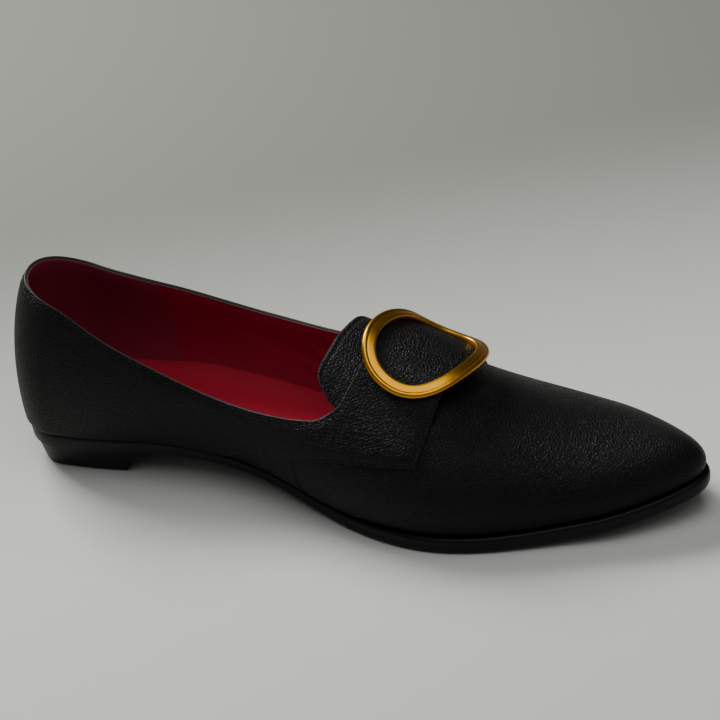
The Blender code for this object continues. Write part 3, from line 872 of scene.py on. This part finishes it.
def tongue_outline():
    return [(TONGUE_EDGE(s), s * TONGUE_SIDE) for s in spread(-0.995, 0.995, 120)]


def tongue_seam():
    inner_line = inset_line(tongue_outline(), -TONGUE_SEAM_INSET)
    return [p for p in inner_line if abs(p[1]) < TONGUE_SIDE * TONGUE_SEAM_REACH]


def make_tongue():
    """Round-cornered tongue in black leather, with its red lining below."""
    lining_top_lift, lining_foot_lift = TONGUE_LINING
    leather = tongue_rows(0.0, TONGUE_RUN_ON[0])
    lining = tongue_rows(TONGUE_LINING_INSET, TONGUE_RUN_ON[1])
    sheet("tongue_leather", [leather], lambda *place: lining_top_lift, lambda *place: 0.0, [BLACK_LEATHER],
          ["tongue"], seams=[tongue_seam()], folds=[tongue_outline()])
    sheet("tongue_lining", [lining], lambda *place: lining_foot_lift, lambda *place: lining_top_lift,
          [LINING_RED])


def sole_ledge(along):
    """How far the sole stands out past the feather edge: it is tucked in at waist and heel."""
    return SOLE_LEDGE * smooth_step((along - LEDGE_START) / LEDGE_EASE)


def sole_point(side, along, out, share):
    """A point of the sole's side: share 0 at the underside and 1 at the top."""
    x, y = feather_offset(side, along, sole_ledge(along) - out)
    x_share = x / LAST_LENGTH
    return Vector((x, y, underside(x_share) + sole_thickness(x_share) * share))


# The sole's side: how far it draws in, in shares of SOLE_EDGE_ROUND, and height, as a share of the thickness
SOLE_SIDE = (
    (1.60, 0.000), (1.00, 0.010), (0.55, 0.055), (0.25, 0.130), (0.08, 0.240), (0.00, 0.370), (0.00, 0.520),
    (0.06, 0.660), (0.20, 0.790), (0.42, 0.890), (0.75, 0.955), (1.10, 0.990), (1.60, 1.000),
)


def foot_rings(point_at, rings, columns=150):
    """Stacked closed rings round the foot, from heel back to toe tip and home."""
    alongs = [along_of(u) for u in spread(0, 1, columns)]
    points = []
    for ring in rings:
        points += [point_at(MEDIAL, a, ring) for a in alongs]
        points += [point_at(LATERAL, a, ring) for a in reversed(alongs[1:-1])]
    n = 2 * columns
    return points, ring_walls(len(rings), n), n


def floor_strips(points, faces, n, ring, rows, upward, height):
    """Closes a ring with strips across the foot, in rows at height(point, share across, strip length)."""
    start = ring * n
    columns = []
    for i in range(n // 2 + 1):
        a = start + i
        b = start + (n - i) % n
        if a == b:
            columns.append([a] * (rows + 1))
            continue
        column = [a]
        span = (points[a] - points[b]).length
        for share in spread(0, 1, rows)[1:-1]:
            point = points[a].lerp(points[b], share)
            point.z = height(point, share, span)
            column.append(len(points))
            points.append(point)
        columns.append(column + [b])
    quads = grid_faces(columns)
    if not upward:
        quads = [list(reversed(quad)) for quad in quads]
    faces += quads


def make_outsole():
    """Moulded black sole with a rounded side, whose lower edge is square over the heel block."""

    def side_point(side, along, ring):
        draw, share = ring
        square = (1 - smooth_step((along - SQUARE_END) / SQUARE_EASE)) * (1 - smooth_step(share / SQUARE_TOP))
        return sole_point(side, along, draw * SOLE_EDGE_ROUND * (1 - SQUARE_SHARE * square), share)

    points, faces, n = foot_rings(side_point, SOLE_SIDE)
    floor_strips(points, faces, n, len(SOLE_SIDE) - 1, 12, True,
                 lambda p, share, span: underside(p.x / LAST_LENGTH) + sole_thickness(p.x / LAST_LENGTH))
    floor_strips(points, faces, n, 0, 36, False, lambda p, share, span: underside(p.x / LAST_LENGTH))
    finished("outsole_moulded", points, faces, [SOLE_BLACK], ["outsole"])


def heel_ring(height, draw, columns=44, breast_columns=20):
    """The heel block's outline at one height, with its hollow breast across the front."""
    lean = BREAST_LEAN * (1 - height / HEEL_HEIGHT)
    breast = (HEEL_LENGTH - lean) / LAST_LENGTH
    inset = -HEEL_INSET - draw
    alongs = [along_of(u) for u in spread(0, place_of(breast), columns)]
    ring = [feather_offset(MEDIAL, a, inset) for a in alongs]
    medial = ring[-1]
    lateral = feather_offset(LATERAL, breast, inset)
    for share in spread(0, 1, breast_columns)[1:-1]:
        x = medial[0] + (lateral[0] - medial[0]) * share - BREAST_HOLLOW * math.sin(math.pi * share)
        ring.append((x, medial[1] + (lateral[1] - medial[1]) * share))
    ring += [feather_offset(LATERAL, a, inset) for a in reversed(alongs[1:])]
    return [Vector((x, y, height)) for x, y in ring]


def make_heel():
    """Low heel block under the seat, drawn in towards its tread."""
    rows = [(0.0, HEEL_TAPER + TREAD_BEVEL), (0.0002, HEEL_TAPER + 0.5 * TREAD_BEVEL),
            (TREAD_BEVEL, HEEL_TAPER + 0.1 * TREAD_BEVEL)]
    rows += [(HEEL_HEIGHT * share, HEEL_TAPER * (1 - share) ** TAPER_POWER)
             for share in spread(TAPER_START, 1, 10)]
    rings = [heel_ring(*row) for row in rows]
    n = len(rings[0])
    points = [p for ring in rings for p in ring]
    faces = ring_walls(len(rings), n)
    top = (len(rings) - 1) * n
    faces.append(tuple(range(top, top + n)))
    faces.append(tuple(reversed(range(n))))
    heel = finished("heel_block", points, faces, [SOLE_BLACK], ["heel"])
    heel.data.set_sharp_from_angle(angle=math.radians(40))


def make_sock():
    """Smooth red sock that turns up along the lining in a soft hollow."""
    inside = -UPPER_LEATHER - LINING - SOCK_EASE
    rim = SOCK_THICKNESS + SOCK_TURN_UP

    def sock_point(side, along, level):
        if level == 0.0:
            x, y = feather_offset(side, along, inside - SOCK_FOOT_INSET)
            return Vector((x, y, seat(x)))
        across = side * place_at(side, along, rim * level)
        return skin(along, across, inside)

    def top(p, share, span):
        distance = min(share, 1 - share) * span
        hollow = max(0.0, 1 - distance / SOCK_FILLET)
        return seat(p.x) + SOCK_THICKNESS + SOCK_TURN_UP * hollow**SOCK_HOLLOW

    points, faces, n = foot_rings(sock_point, SOCK_LEVELS)
    floor_strips(points, faces, n, len(SOCK_LEVELS) - 1, 60, True, top)
    floor_strips(points, faces, n, 0, 8, False, lambda p, share, span: seat(p.x))
    finished("sock", points, faces, [SOCK_RED], ["insole"])


def buckle_lift(across):
    """Height of the buckle's middle over the skin: it lies on two latchets, then on the lower one."""
    doubled = lap_lift(MEDIAL, across)
    fall = smooth_step((across - MEDIAL_LAP_END) / LAP_FALL)
    leather_top = doubled + (lap_lift(LATERAL, across) - doubled) * fall + QUARTER_LEATHER
    return leather_top + 2 * SEAM_GAP - BUCKLE_PRESS + BUCKLE_THICKNESS / 2


def bar_curve(along):
    """The line over the instep on which a bar of the ring lies: (across, point) by the metres over."""
    crest = skin(along, 0.0, buckle_lift(0.0))
    rows = [(0.0, 0.0, crest)]
    for side in (MEDIAL, LATERAL):
        travelled = 0.0
        behind = crest
        for across in spread(0, BAR_REACH, 24)[1:]:
            ahead = skin(along, side * across, buckle_lift(side * across))
            travelled += (ahead - behind).length
            rows.append((side * travelled, side * across, ahead))
            behind = ahead
    rows.sort(key=lambda row: row[0])
    across_curve = spline([(reach, across) for reach, across, _ in rows])
    curves = [spline([(reach, point[axis]) for reach, _, point in rows]) for axis in range(3)]
    return lambda reach: (across_curve(reach), Vector([curve(reach) for curve in curves]))


def buckle_line(steps):
    """The middle line of the ring with its normals: a rounded oblong, bent over the latchets' bulge."""
    half_run = (BUCKLE_LENGTH - BUCKLE_BAND) / 2
    half_span = (BUCKLE_SPAN - BUCKLE_BAND) / 2
    rear_bar = bar_curve(BUCKLE_PLACE - half_run / LAST_LENGTH)
    front_bar = bar_curve(BUCKLE_PLACE + half_run / LAST_LENGTH)
    power = 2 / BUCKLE_SQUARENESS
    plan = []
    for i in range(steps * 4):
        turn = 2 * math.pi * i / (steps * 4)
        c, s = math.cos(turn), math.sin(turn)
        run = half_run * math.copysign(abs(c) ** power, c)
        reach = half_span * math.copysign(abs(s) ** power, s)
        plan.append(Vector((run * math.cos(BUCKLE_TURN) - reach * math.sin(BUCKLE_TURN),
                            run * math.sin(BUCKLE_TURN) + reach * math.cos(BUCKLE_TURN) - BUCKLE_SHIFT)))
    line = []
    for ahead, over in evenly(plan, steps):
        share = 0.5 + ahead / (2 * half_run)
        rear_across, rear = rear_bar(over)
        front_across, front = front_bar(over)
        along = BUCKLE_PLACE + ahead / LAST_LENGTH
        across = rear_across + (front_across - rear_across) * share
        normal = skin_normal(along, across)
        chord = rear.lerp(front, share)
        bulge = (skin(along, across, buckle_lift(across)) - chord).dot(normal)
        line.append((chord + normal * max(0.0, bulge), normal))
    return line


# The ring's section, outwards and upwards as shares of half the band and half the thickness: a flat
# face, a fine step and a rounded outer bead
RING_SECTION = (
    (-1.00, -0.62), (-1.00, 0.10), (-0.985, 0.42), (-0.94, 0.62), (-0.86, 0.72), (-0.60, 0.76), (-0.30, 0.78),
    (0.00, 0.79), (0.14, 0.785), (0.20, 0.74), (0.25, 0.75), (0.32, 0.88), (0.45, 0.98), (0.60, 0.98),
    (0.74, 0.88), (0.86, 0.70), (0.95, 0.42), (1.00, 0.08), (0.99, -0.28), (0.93, -0.60), (0.80, -0.86),
    (0.60, -0.98), (0.30, -1.00), (-0.30, -1.00), (-0.80, -1.00), (-0.95, -0.86),
)


def make_buckle():
    """Gilt ring with a flat face and a rounded outer bead, bent over the instep."""
    line = buckle_line(RING_STEPS)
    middles = relaxed([middle for middle, _ in line], RING_EASING)
    points = []
    for i, (_, normal) in enumerate(line):
        run = middles[(i + 1) % RING_STEPS] - middles[i - 1]
        sideways = run.cross(normal).normalized()
        upward = sideways.cross(run).normalized()
        for out, up in RING_SECTION:
            offset = sideways * (out * BUCKLE_BAND / 2) + upward * (up * BUCKLE_THICKNESS / 2)
            points.append(middles[i] + offset)
    n = len(RING_SECTION)
    faces = []
    for i in range(RING_STEPS):
        j = (i + 1) % RING_STEPS
        for k in range(n):
            m = (k + 1) % n
            faces.append((i * n + m, j * n + m, j * n + k, i * n + k))
    finished("ring_buckle", points, faces, [GILT], ["buckle"])


def evenly(plan, count):
    """The closed line's points set out again at even distances."""
    lengths = [0.0]
    for i in range(len(plan)):
        lengths.append(lengths[-1] + (plan[(i + 1) % len(plan)] - plan[i]).length)
    even = []
    i = 0
    for k in range(count):
        goal = lengths[-1] * k / count
        while lengths[i + 1] < goal:
            i += 1
        share = (goal - lengths[i]) / (lengths[i + 1] - lengths[i])
        even.append(plan[i].lerp(plan[(i + 1) % len(plan)], share))
    return even


def relaxed(points, rounds):
    """The closed line's points with small kinks eased out."""
    for _ in range(rounds):
        n = len(points)
        points = [points[i] * 0.5 + (points[i - 1] + points[(i + 1) % n]) * 0.25 for i in range(n)]
    return points


def group_input(tree, name, kind, value=None):
    socket = tree.interface.new_socket(name=name, in_out="INPUT", socket_type=kind)
    if value is not None:
        socket.default_value = value


def node(tree, kind, inputs=None, **settings):
    """The outputs of a new node; each input is given as a value or as the socket that feeds it."""
    made = tree.nodes.new(kind)
    for name, value in settings.items():
        setattr(made, name, value)
    for name, value in (inputs or {}).items():
        socket = made.inputs[name]
        if isinstance(value, bpy.types.NodeSocket):
            tree.links.new(value, socket)
        else:
            socket.default_value = value
    return made.outputs


def sewn_thread_tree():
    """Geometry nodes that lay stitches along a sewn line, each turned to the leather under it."""
    tree = bpy.data.node_groups.new("sewn_thread", "GeometryNodeTree")
    group_input(tree, "Geometry", "NodeSocketGeometry")
    group_input(tree, "Pitch", "NodeSocketFloat", STITCH_PITCH)
    group_input(tree, "Stitch Length", "NodeSocketFloat", STITCH_LENGTH)
    group_input(tree, "Thread", "NodeSocketFloat", THREAD)
    group_input(tree, "Slant", "NodeSocketFloat", STITCH_SLANT)
    group_input(tree, "Seed", "NodeSocketInt", STITCH_SEED)
    group_input(tree, "Material", "NodeSocketMaterial")
    tree.interface.new_socket(name="Geometry", in_out="OUTPUT", socket_type="NodeSocketGeometry")
    given = node(tree, "NodeGroupInput")
    thread = given["Thread"]
    curve = node(tree, "GeometryNodeMeshToCurve", {"Mesh": given["Geometry"]})[0]
    even = node(tree, "GeometryNodeResampleCurve", {"Curve": curve, "Length": given["Pitch"]},
                mode="LENGTH")[0]
    tangent = node(tree, "GeometryNodeInputTangent")[0]
    normal = node(tree, "GeometryNodeInputNamedAttribute", {"Name": "leather_normal"},
                  data_type="FLOAT_VECTOR")[0]
    run = node(tree, "FunctionNodeAlignRotationToVector", {"Vector": tangent}, axis="X")[0]
    up = node(tree, "FunctionNodeAlignRotationToVector", {"Rotation": run, "Vector": normal},
              axis="Z", pivot_axis="X")[0]
    low = maths(tree, "MULTIPLY", given["Slant"], -1.0)
    stray = node(tree, "FunctionNodeRandomValue", {"Min": low, "Max": given["Slant"], "Seed": given["Seed"]},
                 data_type="FLOAT")[1]
    turn = node(tree, "ShaderNodeCombineXYZ", {"Z": stray})[0]
    turned = node(tree, "FunctionNodeRotateRotation", {"Rotation": up, "Rotate By": turn},
                  rotation_space="LOCAL")[0]
    bead = node(tree, "GeometryNodeMeshUVSphere", {"Segments": 8, "Rings": 6, "Radius": 0.5})[0]
    size = node(tree, "ShaderNodeCombineXYZ", {"X": given["Stitch Length"], "Y": thread, "Z": thread})[0]
    shaped = node(tree, "GeometryNodeTransform", {"Geometry": bead, "Scale": size})[0]
    laid = node(tree, "GeometryNodeInstanceOnPoints",
                {"Points": even, "Instance": shaped, "Rotation": turned})[0]
    real = node(tree, "GeometryNodeRealizeInstances", {"Geometry": laid})[0]
    smooth = node(tree, "GeometryNodeSetShadeSmooth", {"Geometry": real})[0]
    coloured = node(tree, "GeometryNodeSetMaterial", {"Geometry": smooth, "Material": given["Material"]})[0]
    node(tree, "NodeGroupOutput", {"Geometry": coloured})
    return tree


def make_stitches(name, lines, lift, tree):
    """Sews along the lines of places, the thread half sunk in the leather at lift(along, across)."""
    points, normals, edges = [], [], []
    for line in lines:
        first = len(points)
        for along, across in line:
            points.append(TO_ORIGIN @ skin(along, across, lift(along, across)))
            normals += list(skin_normal(along, across))
        edges += [(i, i + 1) for i in range(first, len(points) - 1)]
    path = bpy.data.meshes.new(name + "_line")
    path.from_pydata([tuple(p) for p in points], edges, [])
    path.attributes.new("leather_normal", "FLOAT_VECTOR", "POINT").data.foreach_set("vector", normals)
    obj = linked(name, path)
    sewing = obj.modifiers.new("sewing", "NODES")
    sewing.node_group = tree
    for item in tree.interface.items_tree:
        if item.item_type == "SOCKET" and item.in_out == "INPUT" and item.name == "Material":
            sewing[item.identifier] = THREAD_BLACK
    graph = bpy.context.evaluated_depsgraph_get()
    sewn = bpy.data.meshes.new_from_object(obj.evaluated_get(graph))
    obj.modifiers.clear()
    obj.data = sewn
    settled(obj)


def new_group(name, inputs, outputs):
    """An empty group of shader nodes with its number sockets, and what it is given."""
    tree = bpy.data.node_groups.new(name, "ShaderNodeTree")
    for title, value in inputs.items():
        group_input(tree, title, "NodeSocketFloat", value)
    for title in outputs:
        tree.interface.new_socket(name=title, in_out="OUTPUT", socket_type="NodeSocketFloat")
    return tree, node(tree, "NodeGroupInput")


def object_place(tree):
    return node(tree, "ShaderNodeTexCoord")["Object"]


def maths(tree, operation, first, second):
    return node(tree, "ShaderNodeMath", {0: first, 1: second}, operation=operation)[0]


def vector_maths(tree, operation, first, second, key=1):
    return node(tree, "ShaderNodeVectorMath", {0: first, key: second}, operation=operation)[0]


def noise(tree, place, scale, detail, rough=0.5):
    return node(tree, "ShaderNodeTexNoise",
                {"Vector": place, "Scale": scale, "Detail": detail, "Roughness": rough})


def ranged(tree, value, low, high, start=0.0, end=1.0, shape="LINEAR"):
    """Number from low to high as value goes from start to end."""
    return node(tree, "ShaderNodeMapRange", {"Value": value, "From Min": start, "From Max": end,
                                             "To Min": low, "To Max": high}, interpolation_type=shape)[0]


def pebbled_grain():
    """Pebbles of the leather's skin with finer pores, and the slow change of its tone."""
    tree, given = new_group("pebbled_grain", {"Pebbles per Metre": 1100.0, "Wander": 0.6, "Pores": 0.3},
                            ("Height", "Tone", "Polish"))
    place = object_place(tree)
    pebbles = given["Pebbles per Metre"]
    stray = noise(tree, place, maths(tree, "MULTIPLY", pebbles, 0.45), 2.0)["Color"]
    centred = vector_maths(tree, "SUBTRACT", stray, (0.5, 0.5, 0.5))
    drift = vector_maths(tree, "SCALE", centred, maths(tree, "DIVIDE", given["Wander"], pebbles), "Scale")
    moved = vector_maths(tree, "ADD", place, drift)
    cells = node(tree, "ShaderNodeTexVoronoi", {"Vector": moved, "Scale": pebbles, "Randomness": 1.0},
                 feature="DISTANCE_TO_EDGE")["Distance"]
    domes = ranged(tree, cells, 0.0, 1.0, 0.0, 0.30, "SMOOTHERSTEP")
    pores = noise(tree, place, maths(tree, "MULTIPLY", pebbles, 3.1), 2.0)["Fac"]
    patch = noise(tree, place, 60.0, 3.0)["Fac"]
    worn = ranged(tree, patch, 0.55, 1.0, 0.30, 0.70)
    height = maths(tree, "ADD", maths(tree, "MULTIPLY", domes, worn),
                   maths(tree, "MULTIPLY", pores, given["Pores"]))
    node(tree, "NodeGroupOutput", {"Height": height, "Tone": noise(tree, place, 28.0, 4.0)["Fac"],
                                   "Polish": maths(tree, "MULTIPLY", domes, patch)})
    return tree


def sewn_groove():
    """Height of the leather near a sewn line, which the thread pulls in."""
    tree, given = new_group("sewn_groove", {"Half Width": 0.0011}, ("Height",))
    away = node(tree, "ShaderNodeAttribute", attribute_name="seam")["Fac"]
    node(tree, "NodeGroupOutput",
         {"Height": ranged(tree, away, 0.0, 1.0, 0.0, given["Half Width"], "SMOOTHSTEP")})
    return tree


def folded_edge():
    """1 on the narrow smooth band along a piece's folded edge, from the distance to it."""
    tree, given = new_group("folded_edge", {"Band Width": 0.0007}, ("Mask",))
    away = node(tree, "ShaderNodeAttribute", attribute_name="fold")["Fac"]
    half = maths(tree, "MULTIPLY", given["Band Width"], 0.5)
    node(tree, "NodeGroupOutput",
         {"Mask": ranged(tree, away, 1.0, 0.0, half, given["Band Width"], "SMOOTHSTEP")})
    return tree


def fine_scuffs():
    """Fine directionless scratches and dust specks, as a mask."""
    tree, given = new_group("fine_scuffs", {"Scale": 90.0, "Amount": 0.5}, ("Mask",))
    stretched = node(tree, "ShaderNodeMapping", {"Vector": object_place(tree), "Rotation": (0.3, 0.5, 0.9),
                                                 "Scale": (1.0, 9.0, 5.0)})[0]
    sharp = ranged(tree, noise(tree, stretched, given["Scale"], 6.0, 0.7)["Fac"], 0.0, 1.0, 0.52, 0.75)
    node(tree, "NodeGroupOutput", {"Mask": maths(tree, "MULTIPLY", sharp, given["Amount"])})
    return tree


PEBBLED_GRAIN = pebbled_grain()
SEWN_GROOVE = sewn_groove()
FOLDED_EDGE = folded_edge()
FINE_SCUFFS = fine_scuffs()


def new_material(name, roughness, metallic=0.0, specular=0.5, preview=(0.02, 0.02, 0.02)):
    material = bpy.data.materials.new(name)
    material.use_nodes = True
    material.diffuse_color = (*preview, 1.0)
    shader = material.node_tree.nodes["Principled BSDF"]
    shader.inputs["Roughness"].default_value = roughness
    shader.inputs["Metallic"].default_value = metallic
    shader.inputs["Specular IOR Level"].default_value = specular
    return material, material.node_tree, shader


def placed(tree, group, **values):
    """The outputs of a shared node group, set into a material with this material's own values."""
    made = tree.nodes.new("ShaderNodeGroup")
    made.node_tree = group
    for name, value in values.items():
        made.inputs[name.replace("_", " ")].default_value = value
    return made.outputs


def blended(tree, share, dark, light):
    """Colour from dark to light as share goes from 0 to 1; dark can be another colour's socket."""
    if isinstance(dark, tuple):
        dark = (*dark, 1.0)
    return node(tree, "ShaderNodeMix", {0: share, 6: dark, 7: (*light, 1.0)}, data_type="RGBA")[2]


def relief(tree, height, strength, depth, **below):
    """Surface normal of a relief of that depth, over the Normal below it where one is given."""
    return node(tree, "ShaderNodeBump",
                {"Height": height, "Strength": strength, "Distance": depth, **below})[0]


def leather_material(name, dark, light, pebbles, depth, rough, specular, pores=0.35, groove=0.0, edge=None):
    """Grained leather: pebbles and pores in relief, its gloss broken up by them, tone that drifts."""
    material, tree, shader = new_material(name, rough[0], specular=specular, preview=light)
    grain = placed(tree, PEBBLED_GRAIN, Pebbles_per_Metre=pebbles, Wander=0.7, Pores=pores)
    colour = blended(tree, ranged(tree, grain["Tone"], 0.0, 1.0, 0.3, 0.7), dark, light)
    if edge:
        colour = blended(tree, placed(tree, FOLDED_EDGE)["Mask"], colour, edge)
    tree.links.new(colour, shader.inputs["Base Color"])
    tree.links.new(ranged(tree, grain["Polish"], rough[1], rough[0], 0.1, 0.6), shader.inputs["Roughness"])
    below = {}
    if groove:
        below["Normal"] = relief(tree, placed(tree, SEWN_GROOVE)["Height"], 0.8, groove)
    tree.links.new(relief(tree, grain["Height"], 1.0, depth, **below), shader.inputs["Normal"])
    return material


def smooth_material(name, dark, light, rough, specular, depth=0.0, metallic=0.0, scuff=0.4, scale=90.0):
    """Smooth finish with fine scuffs in its gloss: moulded sole, edge paint, gilt."""
    material, tree, shader = new_material(name, rough[0], metallic, specular, preview=light)
    marks = placed(tree, FINE_SCUFFS, Scale=scale, Amount=1.0)["Mask"]
    grain = placed(tree, PEBBLED_GRAIN, Pebbles_per_Metre=2600.0, Wander=0.8, Pores=0.8)
    tree.links.new(blended(tree, grain["Tone"], dark, light), shader.inputs["Base Color"])
    dullest = rough[0] + (rough[1] - rough[0]) * scuff * 2
    tree.links.new(ranged(tree, marks, rough[0], dullest), shader.inputs["Roughness"])
    if depth:
        tree.links.new(relief(tree, grain["Height"], 0.6, depth), shader.inputs["Normal"])
    return material


BLACK_LEATHER = leather_material("black_grained_leather", (0.0012, 0.0013, 0.0015), (0.0028, 0.0029, 0.0033),
                                 900.0, 0.00020, (0.36, 0.54), 0.175,
                                 groove=0.0004, edge=(0.024, 0.0228, 0.0224))
LINING_RED = leather_material("red_lining_leather", (0.255, 0.0115, 0.0350), (0.315, 0.0150, 0.0460),
                              2600.0, 0.00003, (0.50, 0.64), 0.14)
SOCK_RED = leather_material("red_sock_leather", (0.320, 0.0110, 0.0280), (0.380, 0.0140, 0.0345),
                            2300.0, 0.00003, (0.50, 0.64), 0.08)
GRIP_WINE = leather_material("wine_heel_grip", (0.210, 0.0220, 0.0500), (0.260, 0.0280, 0.0600),
                             3000.0, 0.00004, (0.75, 0.90), 0.05, pores=0.9)
LINING_EDGE = smooth_material("lining_cut_edge", (0.10, 0.060, 0.058), (0.15, 0.095, 0.090), (0.7, 0.9), 0.2,
                              depth=0.00003)
EDGE_PAINT = smooth_material("collar_edge_paint", (0.016, 0.012, 0.010), (0.030, 0.022, 0.018),
                             (0.45, 0.65), 0.3, depth=0.00003)
SOLE_BLACK = smooth_material("black_moulded_sole", (0.0018, 0.0020, 0.0022), (0.0034, 0.0037, 0.0040),
                             (0.42, 0.62), 0.20, depth=0.00002)
THREAD_BLACK = smooth_material("black_thread", (0.006, 0.006, 0.006), (0.012, 0.012, 0.012), (0.55, 0.7), 0.3,
                               depth=0.00003)
GILT = smooth_material("gilt_ring", (0.52, 0.230, 0.008), (0.60, 0.280, 0.012), (0.30, 0.46), 0.5,
                       metallic=1.0, scuff=0.35, scale=60.0)

TREAD_START = HEEL_INSET + HEEL_TAPER + TREAD_BEVEL
TREAD_END = HEEL_LENGTH - BREAST_LEAN
TO_ORIGIN = Matrix.Translation((-(TREAD_START + TREAD_END) / 2, 0, 0))

make_upper()
make_lining()
make_heel_grip()
make_quarter("quarter_medial_leather", MEDIAL, MEDIAL_LAP_END, "quarter_medial")
make_quarter("quarter_lateral_leather", LATERAL, LATERAL_LAP_END, "quarter_lateral")
make_tongue()
make_sock()
make_outsole()
make_heel()
make_buckle()

THREAD_TREE = sewn_thread_tree()
for side, name in ((MEDIAL, "stitches_medial"), (LATERAL, "stitches_lateral")):
    lift = quarter_lift(side)
    lines = [signed(side, line) for line in quarter_seams(side)]
    make_stitches(name, lines, lambda a, v: lift(a, v) - THREAD_SINK, THREAD_TREE)
make_stitches("stitches_tongue", [tongue_seam()], lambda a, v: -THREAD_SINK, THREAD_TREE)


def make_floor():
    """Pale seamless paper: flat under the shoe, sweeping up a long way behind it, with painted shade that
    darkens it further back and towards the left.
    """
    rows = [(-3.0, 0.0), (SWEEP_START, 0.0)]
    for turn in spread(0, math.pi / 2, 16):
        rows.append((SWEEP_START + SWEEP_RADIUS * math.sin(turn), SWEEP_RADIUS * (1 - math.cos(turn))))
    rows.append((SWEEP_START + SWEEP_RADIUS, 3.0))
    points = [(x, y, z) for y, z in rows for x in (-3.0, 3.0)]
    faces = [(2 * i, 2 * i + 1, 2 * i + 3, 2 * i + 2) for i in range(len(rows) - 1)]
    mesh = bpy.data.meshes.new("floor")
    mesh.from_pydata(points, [], faces)
    mesh.shade_smooth()
    material, tree, shader = new_material("pale_floor_painted_shade", 0.85, specular=0.1, preview=(0.6, 0.6, 0.6))
    # painted shade: the paper's colour darkens from FLOOR_LIGHT to the darker, painted shade colour further
    # back and towards the left
    parts = node(tree, "ShaderNodeSeparateXYZ", {"Vector": object_place(tree)})
    depth = maths(tree, "SUBTRACT", parts["Y"], maths(tree, "MULTIPLY", parts["X"], FLOOR_SLANT))
    share = ranged(tree, depth, 0.0, 1.0, FLOOR_NEAR, FLOOR_FAR, "SMOOTHSTEP")
    tree.links.new(blended(tree, share, FLOOR_LIGHT, FLOOR_PAINTED_SHADE), shader.inputs["Base Color"])
    mesh.materials.append(material)
    linked("floor", mesh)


def soft_box(name, place, width, depth, power, colour=(1.0, 1.0, 1.0)):
    """A rectangular light at place, turned to the middle of the shoe."""
    light = bpy.data.lights.new(name, "AREA")
    light.shape = "RECTANGLE"
    light.size = width
    light.size_y = depth
    light.energy = power
    light.color = colour
    turn = (Vector(place) - LIGHTS_AIM).to_track_quat("Z", "Y").to_matrix().to_4x4()
    linked(name, light).matrix_world = Matrix.Translation(place) @ turn


def make_camera():
    """The photograph's view: found by fitting the shoe's outline in a 720 by 720 frame."""
    azimuth, elevation, roll = (math.radians(angle) for angle in (21.28, 32.36, 5.87))
    distance, focal, centre_x, centre_y = 0.6937, 1874.05, 341.66, 396.9
    target = Vector((0.105, 0.0, 0.03))
    back = Vector((math.sin(azimuth) * math.cos(elevation), -math.cos(azimuth) * math.cos(elevation),
                   math.sin(elevation)))
    right = (-back).cross(Vector((0, 0, 1))).normalized()
    look = Matrix((right, right.cross(-back), -back))
    aside = Matrix.Rotation(math.atan((centre_x - PICTURE / 2) / focal), 3, "Y")
    down = Matrix.Rotation(math.atan((centre_y - PICTURE / 2) / focal), 3, "X")
    rows = Matrix.Rotation(roll, 3, "Z") @ down @ aside @ look
    axes = Matrix((rows[0], rows[1], -rows[2])).transposed().to_4x4()
    data = bpy.data.cameras.new("camera")
    data.sensor_width = SENSOR
    data.lens = focal / PICTURE * SENSOR
    data.clip_start = 0.01
    camera = linked("camera", data)
    camera.matrix_world = Matrix.Translation(target + back * distance) @ axes
    bpy.context.scene.camera = camera


# Floor colours: pale paper near the shoe and painted shade far back and to the left, with where that painted
# shade starts and ends and how it slants
FLOOR_LIGHT = (0.66, 0.66, 0.63)
FLOOR_PAINTED_SHADE = (0.215, 0.221, 0.196)
FLOOR_NEAR = -0.14
FLOOR_FAR = 0.25
FLOOR_SLANT = 0.65
SWEEP_START = 0.9
SWEEP_RADIUS = 0.6
LIGHTS_AIM = Vector((0.10, 0.0, 0.0))
PICTURE = 720
SENSOR = 36.0
make_floor()
soft_box("back_soft_box", (-0.62, 0.44, 0.80), 0.5, 0.4, 16.5, (1.0, 0.995, 0.98))
soft_box("top_soft_box", (0.15, -0.05, 1.30), 0.8, 0.8, 4.4)
soft_box("front_soft_box", (0.45, -0.5, 1.1), 0.6, 0.6, 1.6)
world = bpy.data.worlds.new("studio")
world.use_nodes = True
sky = world.node_tree.nodes["Background"].inputs
sky["Color"].default_value = (0.82, 0.84, 0.85, 1.0)
sky["Strength"].default_value = 0.18
bpy.context.scene.world = world
make_camera()
